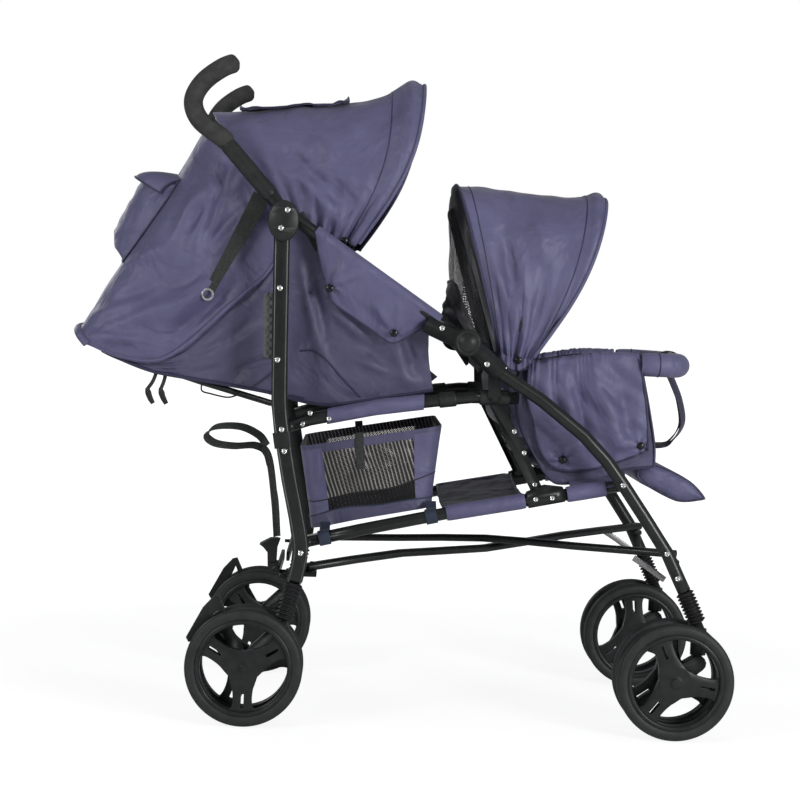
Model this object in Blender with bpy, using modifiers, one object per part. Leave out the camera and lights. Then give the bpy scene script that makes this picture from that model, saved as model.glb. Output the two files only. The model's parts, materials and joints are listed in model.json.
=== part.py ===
"""Tandem umbrella stroller with two seats in line, modelled in metres with +Z up and +X forwards.

The rider's right side of the stroller is -Y. Profile points are (x, z), with x measured from the
rear axle and z from the floor. The finished model is moved so that its origin lies on the floor
below the middle of its box.
"""

import math

import bmesh
import bpy
from mathutils import Matrix, Vector

# Overall
SEAT_HALF_WIDTH = 0.150
SIDE_ROOM = 0.100
TRACK_OVERALL = 2 * (SEAT_HALF_WIDTH + SIDE_ROOM)
WHEELBASE = 0.653

# Wheels
WHEEL_RADIUS = 0.089
TYRE_WIDTH = 0.024
TYRE_DEPTH = 0.018
REAR_PAIR_WIDTH = 0.068
FRONT_PAIR_WIDTH = 0.078
SPOKE_COUNT = 3
SPOKE_THICKNESS = 0.016
SPOKE_HUB_RADIUS = 0.030
SPOKE_FLARE = 0.022
SPOKE_SLOT_MARGIN = 0.008
SPOKE_SLOT_LENGTH = 0.018
WHEEL_STEPS = 24
AXLE_RADIUS = 0.004
AXLE_HEAD_RADIUS = 0.007
AXLE_HEAD_THICKNESS = 0.003
CASTER_TRAIL = 0.037

# Clearances
SEAT_GAP = 0.0003
BORE_GAP = 0.0006

# Frame tubes
TUBE_RADIUS = 0.0105
LEG_DEPTH = 0.024
LEG_WIDTH = 0.015
RAIL_RADIUS = 0.0095
GRIP_RADIUS = 0.0145
GRIP_OVERLAP = 0.030
RAIL_REAR_Y = TRACK_OVERALL / 2 - 0.066
RAIL_FRONT_Y = TRACK_OVERALL / 2 - 0.084
LOWER_RAIL_FRONT_Y = TRACK_OVERALL / 2 - 0.074
LINK_THICKNESS = 0.008
SLEEVE_RADIUS = 0.0155
HUB_CAP_RADIUS = 0.021
HUB_CAP_THICKNESS = 0.010
RIVET_RADIUS = 0.0035
RIVET_HEIGHT = 0.0015

# Suspension
BOOT_RADIUS = 0.0140
BOOT_RIB_DEPTH = 0.0025
BOOT_RIBS = 9
STRUT_ROD_RADIUS = 0.007
SUSPENSION_TRAVEL = 0.012
CARRIER_THICKNESS = 0.016

# Folding parts
CROSS_BAR_WIDTH = 0.018
CROSS_BAR_HEIGHT = 0.011
CROSS_BAR_PIN_Y = TRACK_OVERALL / 2 - 0.064
CROSS_BAR_X_REAR = 0.096
CROSS_BAR_X_FRONT = WHEELBASE - 0.005
CROSS_BAR_Z_REAR = 0.238
CROSS_BAR_Z_FRONT = 0.278
CROSS_BAR_SAG = 0.0022
CROSS_BAR_HEIGHTS = {"right": (CROSS_BAR_Z_REAR, 0.252, 0.253, 0.268, CROSS_BAR_Z_FRONT),
                     "left": (CROSS_BAR_Z_REAR, 0.254, 0.2695, 0.273, CROSS_BAR_Z_FRONT)}
FOLD_PIN_RADIUS = 0.003
STRETCHER_HEIGHT = 0.016
STRETCHER_THICKNESS = 0.005
STRETCHER_PIVOT_Y = TRACK_OVERALL / 2 - 0.060
STRETCHER_Z = 0.230
STRETCHER_X = 0.050
LOCK_PEDAL_Y = -(SEAT_HALF_WIDTH + 0.010)
LOCK_PEDAL_HALF_WIDTH = 0.014
LOCK_PEDAL_PIN = (0.036, 0.235)
BRAKE_PIVOT = (-0.030, 0.146)
BRAKE_PIN_RADIUS = 0.003

# Soft goods
CLOTH_THICKNESS = 0.004
PANEL_THICKNESS = 0.008
PANEL_Y = SEAT_HALF_WIDTH + 0.0085
PAD_HALF_WIDTH = PANEL_Y - PANEL_THICKNESS - SEAT_GAP
CANOPY_HALF_WIDTH = SEAT_HALF_WIDTH + 0.022
FRONT_CANOPY_HALF_WIDTH = SEAT_HALF_WIDTH + 0.016
BOW_RADIUS = 0.003
BOW_BOSS_RADIUS = 0.008
BUMPER_RADIUS = 0.0185
STRAP_THICKNESS = 0.0025
STRAP_WIDTH = 0.020
TAB_RADIUS = 0.005

# Side profiles, as (x, z)
GRIP_PATH = [(-0.040, 0.999), (-0.066, 0.988), (-0.094, 0.965), (-0.107, 0.937), (-0.096, 0.909), (-0.062, 0.884)]
TUBE_TOP = (-0.062, 0.884)
HINGE_POINT = (0.034, 0.779)
HUB_POINT = (0.320, 0.590)
SLEEVE_REAR = (0.256, 0.618)
SLEEVE_FRONT = (0.372, 0.546)
REAR_LEG_PATH = [(0.034, 0.784), (0.034, 0.729), (0.037, 0.560), (0.039, 0.487), (0.045, 0.442),
                 (0.058, 0.374), (0.071, 0.317), (0.079, 0.273), (0.077, 0.245), (0.071, 0.217)]
FRONT_LEG_PATH = [(0.372, 0.546), (0.437, 0.506), (0.503, 0.455), (0.539, 0.418), (0.567, 0.381),
                  (WHEELBASE - 0.050, 0.330), (WHEELBASE - 0.015, 0.279), (WHEELBASE + 0.003, 0.242),
                  (WHEELBASE + 0.012, 0.224)]
UPPER_RAIL_PATH = [(0.052, 0.452), (0.085, 0.463), (0.185, 0.485), (0.258, 0.496), (0.330, 0.506), (0.404, 0.507)]
LOWER_RAIL_PATH = [(0.088, 0.277), (0.168, 0.297), (0.299, 0.327), (0.427, 0.352), (0.508, 0.367), (0.566, 0.379)]
REAR_BOOT_TOP = (0.0708, 0.2167)
REAR_BOOT_BOTTOM = (0.058, 0.161)
FRONT_BOOT_TOP = (WHEELBASE + 0.0122, 0.2225)
FRONT_BOOT_BOTTOM = (WHEELBASE + 0.0340, 0.1770)
KNUCKLE_TOP = 0.168
KNUCKLE_BOTTOM = 0.128
LOCK_PEDAL_OUTLINE = [(0.014, 0.268), (0.020, 0.264), (0.027, 0.256), (0.028, 0.236), (0.031, 0.228), (0.0405, 0.226),
                      (0.0415, 0.262), (0.046, 0.2760), (0.040, 0.2773), (0.030, 0.2769)]
FOLD_STRAP_PATH = [(0.0400, 0.2775), (0.034, 0.340), (0.023, 0.402), (0.004, 0.4185), (-0.030, 0.4170), (-0.060, 0.4205),
                   (-0.073, 0.4320), (-0.058, 0.4455), (-0.021, 0.4470), (0.007, 0.4350), (0.020, 0.4190)]
REAR_PANEL_OUTLINE = [(0.088, 0.743), (0.262, 0.628), (0.262, 0.530), (0.268, 0.524), (0.177, 0.510), (0.111, 0.500),
                      (0.056, 0.506), (0.060, 0.720)]
REAR_PANEL_TABS = [(0.100, 0.7305), (0.240, 0.638)]
FRONT_PANEL_OUTLINE = [(0.418, 0.553), (0.465, 0.565), (0.542, 0.578), (0.587, 0.572), (0.615, 0.433), (0.597, 0.423),
                       (0.486, 0.394), (0.450, 0.407), (0.408, 0.487)]
FRONT_PANEL_TABS = (2, 3)
CATCH_POINT = (0.5932, PANEL_Y - PANEL_THICKNESS / 2, 0.5625)
TONGUE_RADIUS = 0.0025
BUMPER_HALF = [(0.5935, SEAT_HALF_WIDTH - 0.004, 0.5655), (0.625, SEAT_HALF_WIDTH - 0.004, 0.5655),
               (0.648, SEAT_HALF_WIDTH - 0.019, 0.565), (0.657, SEAT_HALF_WIDTH - 0.045, 0.565), (0.659, 0.044, 0.565)]
CROTCH_STRAP_WIDTH = 0.026
CROTCH_STRAP_PATH = [(0.658, 0.0, 0.555), (0.669, 0.0, 0.533), (0.681, 0.0, 0.504), (0.687, 0.0, 0.469),
                     (0.674, 0.0, 0.443), (0.652, 0.0, 0.432), (0.585, 0.0, 0.434)]
RECLINE_PIN = (0.042, 0.505)
RECLINE_ARM = [(0.024, 0.484), (-0.080, 0.5115), (-0.164, 0.536), (-0.172, 0.5385)]
RECLINE_ARM_Y = SEAT_HALF_WIDTH - 0.004
RECLINE_RADIUS = 0.005
FRONT_RECLINE_PIN = (0.3985, 0.442)
FOOTREST_PIVOT = (0.597, 0.413)
FOOTREST_HALF_WIDTH = SEAT_HALF_WIDTH - 0.010
FOOTREST_OUTLINE = [(0.592, 0.424), (0.612, 0.417), (0.650, 0.403), (0.686, 0.384), (0.711, 0.360), (0.705, 0.354),
                    (0.664, 0.350), (0.603, 0.378), (0.590, 0.392)]
BASKET_OUTLINE = [(0.072, 0.418), (0.094, 0.292), (0.160, 0.308), (0.276, 0.332), (0.288, 0.458)]
BASKET_CLIPS = [(0.112, 0.283), (0.262, 0.3185)]

# Canopy ribs, as the (x, z) of a rib's foot and of its crown
REAR_CANOPY_ROWS = [((0.150, 0.736), (0.236, 0.986)), ((0.118, 0.750), (0.180, 0.972)), ((0.086, 0.757), (0.100, 0.959)),
                    ((0.062, 0.772), (0.004, 0.949)), ((0.045, 0.790), (-0.078, 0.936))]
BACK_PANEL_ROWS = [((0.040, 0.768), (-0.086, 0.928)), ((0.046, 0.660), (-0.143, 0.838)), ((0.047, 0.566), (-0.195, 0.750)),
                   ((0.026, 0.520), (-0.232, 0.690)), ((-0.062, 0.534), (-0.260, 0.638)),
                   ((-0.160, 0.550), (-0.278, 0.612)), ((-0.250, 0.558), (-0.286, 0.586))]
BACK_PANEL_TAB = (-0.0445, 0.864)
FRONT_CANOPY_ROWS = [((0.426, 0.572), (0.527, 0.820)), ((0.408, 0.568), (0.455, 0.829)), ((0.388, 0.568), (0.375, 0.833)),
                     ((0.366, 0.580), (0.300, 0.834)), ((0.352, 0.578), (0.279, 0.808)),
                     ((0.347, 0.562), (0.289, 0.690)), ((0.342, 0.546), (0.300, 0.600))]


def material(name, colour, roughness, metallic=0.0):
    made = bpy.data.materials.new(name)
    made.use_nodes = True
    shader = made.node_tree.nodes["Principled BSDF"]
    shader.inputs["Base Color"].default_value = (*colour, 1.0)
    shader.inputs["Roughness"].default_value = roughness
    shader.inputs["Metallic"].default_value = metallic
    return made


for old in list(bpy.data.objects):
    bpy.data.objects.remove(old)

parts = bpy.data.collections.new("tandem_stroller")
bpy.context.scene.collection.children.link(parts)

FABRIC = material("indigo_fabric", (0.105, 0.098, 0.190), 0.75)
MESH_FABRIC = material("black_mesh_fabric", (0.020, 0.020, 0.023), 0.85)
WEBBING = material("black_webbing", (0.018, 0.018, 0.020), 0.80)
BLACK_TUBE = material("black_painted_tube", (0.016, 0.018, 0.018), 0.35, 0.6)
BLACK_PLASTIC = material("black_plastic", (0.022, 0.025, 0.025), 0.50)
BLACK_RUBBER = material("black_rubber", (0.016, 0.016, 0.017), 0.80)
FOAM = material("black_foam", (0.020, 0.020, 0.022), 0.90)

SIDES = {"right": -1, "left": 1}


def pivot(name, place, parent=None):
    """An empty on a joint's axis, which carries the pieces that move about it."""
    empty = bpy.data.objects.new(name, None)
    empty.empty_display_size = 0.02
    parts.objects.link(empty)
    empty.location = place
    bpy.context.view_layer.update()
    if parent is not None:
        empty.parent = parent
        empty.matrix_parent_inverse = parent.matrix_world.inverted()
    return empty


def finish(obj, name, look, carrier, crease=35):
    """Names a piece, shades it smooth, gives it its material and hangs it on its pivot."""
    obj.name = name
    obj.data.name = name
    obj.data.materials.clear()
    obj.data.materials.append(look)
    obj.data.shade_smooth()
    obj.data.set_sharp_from_angle(angle=math.radians(crease))
    bpy.context.view_layer.update()
    obj.parent = carrier
    obj.matrix_parent_inverse = carrier.matrix_world.inverted()
    return obj


def linked(data):
    obj = bpy.data.objects.new(data.name, data)
    parts.objects.link(obj)
    return obj


def as_mesh(obj):
    """The object's evaluated shape as a welded mesh object in model coordinates."""
    bpy.context.view_layer.update()
    graph = bpy.context.evaluated_depsgraph_get()
    data = bpy.data.meshes.new_from_object(obj.evaluated_get(graph), depsgraph=graph)
    data.transform(obj.matrix_world)
    bpy.data.objects.remove(obj)
    shape = bmesh.new()
    shape.from_mesh(data)
    bmesh.ops.remove_doubles(shape, verts=shape.verts, dist=1e-6)
    bmesh.ops.recalc_face_normals(shape, faces=shape.faces)
    shape.to_mesh(data)
    shape.free()
    return linked(data)


def boolean(target, tool, operation):
    """Joins or cuts two mesh objects and removes the tool."""
    modifier = target.modifiers.new(operation.lower(), "BOOLEAN")
    modifier.operation = operation
    modifier.solver = "EXACT"
    modifier.object = tool
    made = as_mesh(target)
    bpy.data.objects.remove(tool)
    return made


def join(target, *tools):
    for tool in tools:
        target = boolean(target, tool, "UNION")
    return target


def cut(target, *tools):
    for tool in tools:
        target = boolean(target, tool, "DIFFERENCE")
    return target


def grown(obj):
    """A copy of a finished piece with its skin moved out by the seat gap."""
    bpy.context.view_layer.update()
    graph = bpy.context.evaluated_depsgraph_get()
    data = bpy.data.meshes.new_from_object(obj.evaluated_get(graph), depsgraph=graph)
    data.transform(obj.matrix_world)
    shape = bmesh.new()
    shape.from_mesh(data)
    bmesh.ops.remove_doubles(shape, verts=shape.verts, dist=1e-6)
    bmesh.ops.recalc_face_normals(shape, faces=shape.faces)
    shape.normal_update()
    for vertex, normal in [(v, v.normal.copy()) for v in shape.verts]:
        vertex.co += normal * SEAT_GAP
    shape.to_mesh(data)
    shape.free()
    return linked(data)


def clear_of(target, *seats):
    """Cuts other finished pieces out of a mesh object, with the seat gap between them."""
    return cut(target, *[grown(seat) for seat in seats])


def spline_object(points, closed=False, flat=False):
    data = bpy.data.curves.new("curve", "CURVE")
    data.dimensions = "2D" if flat else "3D"
    add_spline(data, points, closed)
    return linked(data)


def add_spline(data, points, closed):
    spline = data.splines.new("POLY")
    spline.points.add(len(points) - 1)
    for point, place in zip(spline.points, points):
        point.co = (*place, *([0.0] * (3 - len(place))), 1.0)
    spline.use_cyclic_u = closed


def smooth(points, steps):
    """A Catmull-Rom curve through the points, with this many steps between each two."""
    ends = [2 * Vector(points[0]) - Vector(points[1])]
    knots = ends + [Vector(p) for p in points] + [2 * Vector(points[-1]) - Vector(points[-2])]
    path = []
    for i in range(1, len(knots) - 2):
        before, a, b, after = knots[i - 1:i + 3]
        for k in range(steps):
            t = k / steps
            path.append(0.5 * (2 * a + (b - before) * t + (2 * before - 5 * a + 4 * b - after) * t ** 2
                               + (3 * a - before - 3 * b + after) * t ** 3))
    return [tuple(p) for p in path + [knots[-2]]]


def tube(points, radius, resolution=2):
    obj = spline_object(points)
    obj.data.bevel_depth = radius
    obj.data.bevel_resolution = resolution
    obj.data.use_fill_caps = True
    return as_mesh(obj)


def swept(points, section):
    """A closed section, given as (across, up) points, carried along a path."""
    guide = spline_object(section, closed=True, flat=True)
    obj = spline_object(points)
    obj.data.twist_mode = "Z_UP"
    obj.data.bevel_mode = "OBJECT"
    obj.data.bevel_object = guide
    obj.data.use_fill_caps = True
    made = as_mesh(obj)
    bpy.data.objects.remove(guide)
    return made


def plate(outline, y_low, y_high, holes=()):
    """A flat piece whose (x, z) outline stands upright, between two planes of constant y."""
    obj = spline_object(outline, closed=True, flat=True)
    for hole in holes:
        add_spline(obj.data, hole, True)
    obj.data.fill_mode = "BOTH"
    obj.data.extrude = abs(y_high - y_low) / 2
    obj.matrix_world = Matrix.Translation((0, (y_low + y_high) / 2, 0)) @ Matrix.Rotation(math.pi / 2, 4, "X")
    return as_mesh(obj)


def cylinder(start, end, radius, sides=12):
    start, end = Vector(start), Vector(end)
    along = end - start
    shape = bmesh.new()
    turn = along.to_track_quat("Z", "Y").to_matrix().to_4x4()
    bmesh.ops.create_cone(shape, cap_ends=True, segments=sides, radius1=radius, radius2=radius,
                          depth=along.length, matrix=Matrix.Translation((start + end) / 2) @ turn)
    return from_bmesh(shape)


def box(low, high):
    low, high = Vector(low), Vector(high)
    shape = bmesh.new()
    bmesh.ops.create_cube(shape, size=1.0, matrix=Matrix.Translation((low + high) / 2)
                          @ Matrix.Diagonal((*(high - low), 1.0)))
    return from_bmesh(shape)


def from_bmesh(shape):
    data = bpy.data.meshes.new("mesh")
    bmesh.ops.recalc_face_normals(shape, faces=shape.faces)
    shape.to_mesh(data)
    shape.free()
    return linked(data)


def turned(profile, steps, place):
    """A profile of (radius, height) points turned about local Z, then placed by a matrix."""
    data = bpy.data.meshes.new("profile")
    closed = profile[0][0] > 0
    edges = [(i, i + 1) for i in range(len(profile) - 1)] + ([(len(profile) - 1, 0)] if closed else [])
    data.from_pydata([(r, 0, h) for r, h in profile], edges, [])
    obj = linked(data)
    screw = obj.modifiers.new("turn", "SCREW")
    screw.steps = screw.render_steps = steps
    screw.use_merge_vertices = True
    screw.merge_threshold = 1e-5
    obj.matrix_world = place
    return as_mesh(obj)


def along_y(x, y, z):
    return Matrix.Translation((x, y, z)) @ Matrix.Rotation(math.pi / 2, 4, "X")


def circle(centre, radius, count, start=0.0):
    return [(centre[0] + radius * math.cos(start + math.tau * k / count),
             centre[1] + radius * math.sin(start + math.tau * k / count)) for k in range(count)]


def capsule(first, first_radius, second, second_radius, count=6):
    """The outline round two circles, with this many steps round each."""
    axis = math.atan2(second[1] - first[1], second[0] - first[0])
    outline = []
    for centre, radius, start in ((first, first_radius, axis + math.pi / 2),
                                  (second, second_radius, axis - math.pi / 2)):
        for k in range(count + 1):
            angle = start + math.pi * k / count
            outline.append((centre[0] + radius * math.cos(angle), centre[1] + radius * math.sin(angle)))
    return outline


def lifted(path, y_of):
    """Profile points given a y by a function of how far along the path they lie."""
    last = len(path) - 1
    return [(x, y_of(i / last), z) for i, (x, z) in enumerate(path)]


def loft(rows, thickness):
    """A sheet through rows of points, given its wall on the inner side."""
    shape = bmesh.new()
    grid = [[shape.verts.new(p) for p in row] for row in rows]
    for near, far in zip(grid, grid[1:]):
        for i in range(len(near) - 1):
            shape.faces.new((near[i], near[i + 1], far[i + 1], far[i]))
    obj = from_bmesh(shape)
    wall = obj.modifiers.new("wall", "SOLIDIFY")
    wall.thickness = thickness
    wall.offset = -1
    return obj


def hoop(foot, crown, half_width, count=14, squareness=4.0):
    """A canopy rib from one foot over the crown to the other: a superellipse in its own plane."""
    points = []
    for k in range(count + 1):
        angle = math.pi * k / count
        side = math.copysign(abs(math.cos(angle)) ** (2 / squareness), math.cos(angle))
        rise = math.sin(angle) ** (2 / squareness)
        points.append((foot[0] + rise * (crown[0] - foot[0]), -half_width * side,
                       foot[1] + rise * (crown[1] - foot[1])))
    return points


def cushion(start, end, half_width, thickness, crown, channels, cells=(12, 8)):
    """A pad from its start to its end line in the side view, crowned and drawn in, with sewn channels."""
    start, end = Vector((start[0], 0, start[1])), Vector((end[0], 0, end[1]))
    along = (end - start).normalized()
    normal = Vector((-along.z, 0, along.x)) * (1 if along.x > 0 else -1)
    length = (end - start).length
    shape = bmesh.new()
    bmesh.ops.create_grid(shape, x_segments=cells[0], y_segments=cells[1], size=1.0)
    plain = [(v.co.x, v.co.y) for v in shape.verts]
    base = {}
    for v, (u, w) in zip(shape.verts, plain):
        draw = 1 - 0.05 * (1 - w * w) * abs(u) ** 3
        spread = 1 - 0.04 * (1 - u * u) * abs(w) ** 3
        base[v] = start + along * (length * (0.5 + 0.5 * u * draw)) + Vector((0, half_width * w * spread, 0))
    upper = {}
    for v, (u, w) in zip(list(shape.verts), plain):
        bulge = (1 - u ** 4) * (1 - w ** 4)
        channel = 0.5 + 0.5 * math.cos(math.pi * channels * (u + 1))
        rise = thickness * 0.55 + crown * bulge * (1 - 0.45 * channel)
        upper[v] = base[v] + normal * rise
        v.co = base[v] - normal * (thickness * 0.45 + 0.3 * crown * bulge)
    lower_faces = list(shape.faces)
    twins = {v: shape.verts.new(place) for v, place in upper.items()}
    rim = [e for e in shape.edges if e.is_boundary]
    for face in lower_faces:
        shape.faces.new([twins[v] for v in face.verts])
    for edge in rim:
        a, b = edge.verts
        shape.faces.new((a, b, twins[b], twins[a]))
    return from_bmesh(shape)


def wheel(name, centre, turn, carrier):
    """Tyre and dished rim as one turned ring, with a spider of broad slotted spokes inside it."""
    x, y, z = centre
    half = TYRE_WIDTH / 2
    rim = WHEEL_RADIUS - TYRE_DEPTH
    ring_inner = rim - 0.005
    profile = [(rim, half), (WHEEL_RADIUS - 0.006, half), (WHEEL_RADIUS, half / 3), (WHEEL_RADIUS, -half / 3),
               (WHEEL_RADIUS - 0.006, -half), (rim, -half), (ring_inner, -half * 0.75), (ring_inner, half * 0.75)]
    ring = turned(profile, WHEEL_STEPS, along_y(x, y, z))
    step = math.tau / SPOKE_COUNT
    flare = ring_inner - SPOKE_FLARE
    slot_out = ring_inner - SPOKE_SLOT_MARGIN
    slot_in = slot_out - SPOKE_SLOT_LENGTH
    outline, slots = [], []
    for k in range(SPOKE_COUNT):
        middle = turn + k * step
        for radius, offset in ((ring_inner + 0.002, -0.20), (ring_inner + 0.002, 0.20), (flare, 0.30),
                               (SPOKE_HUB_RADIUS, 0.62), (SPOKE_HUB_RADIUS - 0.004, step / 2),
                               (SPOKE_HUB_RADIUS, step - 0.62), (flare, step - 0.30)):
            outline.append((x + radius * math.cos(middle + offset), z + radius * math.sin(middle + offset)))
        slots.append([(x + radius * math.cos(middle + offset), z + radius * math.sin(middle + offset))
                      for radius, offset in ((slot_in, -0.07), (slot_out, -0.05), (slot_out, 0.05), (slot_in, 0.07))])
    bore = circle((x, z), AXLE_RADIUS + BORE_GAP, 12)
    spider = plate(outline, y - SPOKE_THICKNESS / 2, y + SPOKE_THICKNESS / 2, [bore, *slots])
    finish(join(ring, spider), name, BLACK_RUBBER, carrier)


def axle(x, y, z, half_length):
    """A wheel pair's axle with a head at each end, turned about its own line."""
    head = half_length - AXLE_HEAD_THICKNESS
    profile = [(0, half_length), (AXLE_HEAD_RADIUS, half_length), (AXLE_HEAD_RADIUS, head), (AXLE_RADIUS, head),
               (AXLE_RADIUS, -head), (AXLE_HEAD_RADIUS, -head), (AXLE_HEAD_RADIUS, -half_length), (0, -half_length)]
    return turned(profile, 12, along_y(x, y, z))


def boot(name, top, bottom, y, rod_radius, carrier):
    """A ribbed bellows over the suspension rod, with a bore that lets the rod slide."""
    top, bottom = Vector((top[0], y, top[1])), Vector((bottom[0], y, bottom[1]))
    length = (top - bottom).length
    inner = rod_radius + BORE_GAP
    profile = [(inner, length), (BOOT_RADIUS - BOOT_RIB_DEPTH, length)]
    for k in range(BOOT_RIBS):
        crest = length * (1 - (k + 0.5) / BOOT_RIBS)
        valley = length * (1 - (k + 1.0) / BOOT_RIBS)
        profile += [(BOOT_RADIUS, crest), (BOOT_RADIUS - BOOT_RIB_DEPTH, valley)]
    profile.append((inner, 0))
    turn = (top - bottom).to_track_quat("Z", "Y").to_matrix().to_4x4()
    finish(turned(profile, 10, Matrix.Translation(bottom) @ turn), name, BLACK_RUBBER, carrier, crease=50)


def rivet(place, outward, radius=RIVET_RADIUS, height=RIVET_HEIGHT):
    """A low rivet head standing on a face that looks along Y."""
    x, y, z = place
    return cylinder((x, y - outward * 0.001, z), (x, y + outward * height, z), radius, 8)


def ribbon(path, half_width):
    """The outline of a strip of even width along a profile path."""
    left, right = [], []
    for i, place in enumerate(path):
        along = Vector(path[min(i + 1, len(path) - 1)]) - Vector(path[max(i - 1, 0)])
        across = Vector((-along.y, along.x)).normalized() * half_width
        left.append(tuple(Vector(place) + across))
        right.append(tuple(Vector(place) - across))
    return left + right[::-1]


def rounded(obj, radius, segments=2, angle=50):
    """Rounds a mesh object's sharp edges and keeps the result."""
    edge = obj.modifiers.new("edges", "BEVEL")
    edge.width = radius
    edge.segments = segments
    edge.limit_method = "ANGLE"
    edge.angle_limit = math.radians(angle)
    return as_mesh(obj)


def frame_side(label, s, side):
    """The fixed tubes and fittings of one side. s is -1 on the right and +1 on the left."""
    front_y = TRACK_OVERALL / 2 - FRONT_PAIR_WIDTH / 2
    rear_y = TRACK_OVERALL / 2 - REAR_PAIR_WIDTH / 2
    tube_y = upper_tube_y()

    grip_path = [(x, s * tube_y, z) for x, z in smooth(GRIP_PATH, 2)]
    tube_start = Vector((TUBE_TOP[0], s * tube_y, TUBE_TOP[1]))
    heading = (Vector((HINGE_POINT[0], s * tube_y, HINGE_POINT[1])) - tube_start).normalized()
    hub = Vector((HUB_POINT[0], s * tube_y, HUB_POINT[1]))
    bend = Vector((HINGE_POINT[0], s * tube_y, HINGE_POINT[1]))
    upper_path = [tuple(tube_start - heading * GRIP_OVERLAP), tuple(tube_start), tuple(bend), tuple(hub.lerp(bend, 0.02))]
    grip = tube(grip_path[:-1] + [tuple(tube_start - heading * GRIP_OVERLAP * 0.5), tuple(tube_start)], GRIP_RADIUS, 3)
    bore = tube([upper_path[0], tuple(tube_start + heading * 0.01)], TUBE_RADIUS + BORE_GAP, 3)
    finish(cut(grip, bore), f"handle_grip_{label}", FOAM, side)
    finish(tube(upper_path, TUBE_RADIUS, 3), f"upper_tube_{label}", BLACK_TUBE, side)

    inner, outer = rear_y - LEG_WIDTH / 2, rear_y + LEG_WIDTH / 2
    leg = rounded(plate(ribbon(REAR_LEG_PATH, LEG_DEPTH / 2), s * inner, s * outer), LEG_WIDTH * 0.3)
    lug_top = CROSS_BAR_Z_REAR - CROSS_BAR_HEIGHT / 2 - SEAT_GAP
    cross_lug = box_between((0.070, s * (CROSS_BAR_PIN_Y - 0.008), lug_top - 0.006),
                            (CROSS_BAR_X_REAR + 0.008, s * (inner + 0.005), lug_top))
    cross_pin = cylinder((CROSS_BAR_X_REAR, s * CROSS_BAR_PIN_Y, lug_top - 0.003),
                         (CROSS_BAR_X_REAR, s * CROSS_BAR_PIN_Y, lug_top + CROSS_BAR_HEIGHT + 0.003), FOLD_PIN_RADIUS)
    stretcher_lug = box_between((STRETCHER_X + STRETCHER_THICKNESS * 1.5, s * (STRETCHER_PIVOT_Y - 0.008),
                                 STRETCHER_Z - 0.004), (0.073, s * (inner + 0.005), STRETCHER_Z + 0.004))
    stretcher_pin = cylinder((STRETCHER_X - STRETCHER_THICKNESS * 1.9, s * STRETCHER_PIVOT_Y, STRETCHER_Z),
                             (STRETCHER_X + STRETCHER_THICKNESS * 2, s * STRETCHER_PIVOT_Y, STRETCHER_Z),
                             FOLD_PIN_RADIUS)
    finish(join(leg, cross_lug, cross_pin, stretcher_lug, stretcher_pin), f"rear_leg_{label}", BLACK_TUBE, side)

    seat = outer + SEAT_GAP
    face = s * (seat + 0.009)
    cover = rounded(plate(ellipse((0.036, 0.762), 0.0235, 0.0310, 18), s * seat, face), 0.002, 1)
    cover = join(cover, rivet((0.040, face, 0.780), s), rivet((0.032, face, 0.748), s))
    finish(cover, f"hinge_cover_{label}", BLACK_PLASTIC, side)

    sleeve_path = [(SLEEVE_REAR[0], s * tube_y, SLEEVE_REAR[1]), tuple(hub), (SLEEVE_FRONT[0], s * tube_y,
                                                                             SLEEVE_FRONT[1])]
    sleeve = tube(sleeve_path, SLEEVE_RADIUS, 3)
    cap_face = tube_y + SLEEVE_RADIUS + HUB_CAP_THICKNESS / 2
    cap = cylinder((HUB_POINT[0], s * tube_y, HUB_POINT[1]), (HUB_POINT[0], s * cap_face, HUB_POINT[1]),
                   HUB_CAP_RADIUS, 24)
    sleeve = join(sleeve, cap)
    rear_bore = tube([upper_path[-2], upper_path[-1]], TUBE_RADIUS + BORE_GAP, 3)
    leg_start = hub.lerp(Vector(sleeve_path[-1]), 0.25)
    front_path = [tuple(leg_start)] + lifted(FRONT_LEG_PATH, lambda t: s * front_leg_y(t))
    front_bore = tube([tuple(leg_start), front_path[1], front_path[2]], TUBE_RADIUS + BORE_GAP, 3)
    finish(cut(sleeve, rear_bore, front_bore), f"hub_{label}", BLACK_PLASTIC, side)

    leg = tube(front_path, TUBE_RADIUS, 3)
    front_lug_top = CROSS_BAR_Z_FRONT - CROSS_BAR_HEIGHT / 2 - SEAT_GAP - CROSS_BAR_SAG
    lug = box_between((CROSS_BAR_X_FRONT - 0.008, s * (CROSS_BAR_PIN_Y - 0.008), front_lug_top - 0.006),
                      (CROSS_BAR_X_FRONT + 0.008, s * (front_y - 0.002), front_lug_top))
    finish(join(leg, lug), f"front_leg_{label}", BLACK_TUBE, side)

    rail_y = RAIL_REAR_Y
    rail = tube(lifted(UPPER_RAIL_PATH, lambda t: s * (rail_y + (RAIL_FRONT_Y - rail_y) * t)), RAIL_RADIUS, 2)
    rear_pin = cylinder((0.056, s * rail_y, 0.453), (0.056, s * (inner - SEAT_GAP), 0.453), 0.007)
    hanger = plate(capsule((0.366, 0.508), 0.010, (0.362, 0.548), 0.008), s * (RAIL_FRONT_Y + 0.002),
                   s * (tube_y - SLEEVE_RADIUS - SEAT_GAP))
    link_y = RAIL_FRONT_Y
    link = plate(capsule((0.366, 0.504), 0.010, (0.437, 0.3685), 0.009), s * (link_y - LINK_THICKNESS / 2),
                 s * (link_y + LINK_THICKNESS / 2))
    finish(join(rail, rear_pin, hanger, link), f"upper_rail_{label}", BLACK_TUBE, side)

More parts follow.
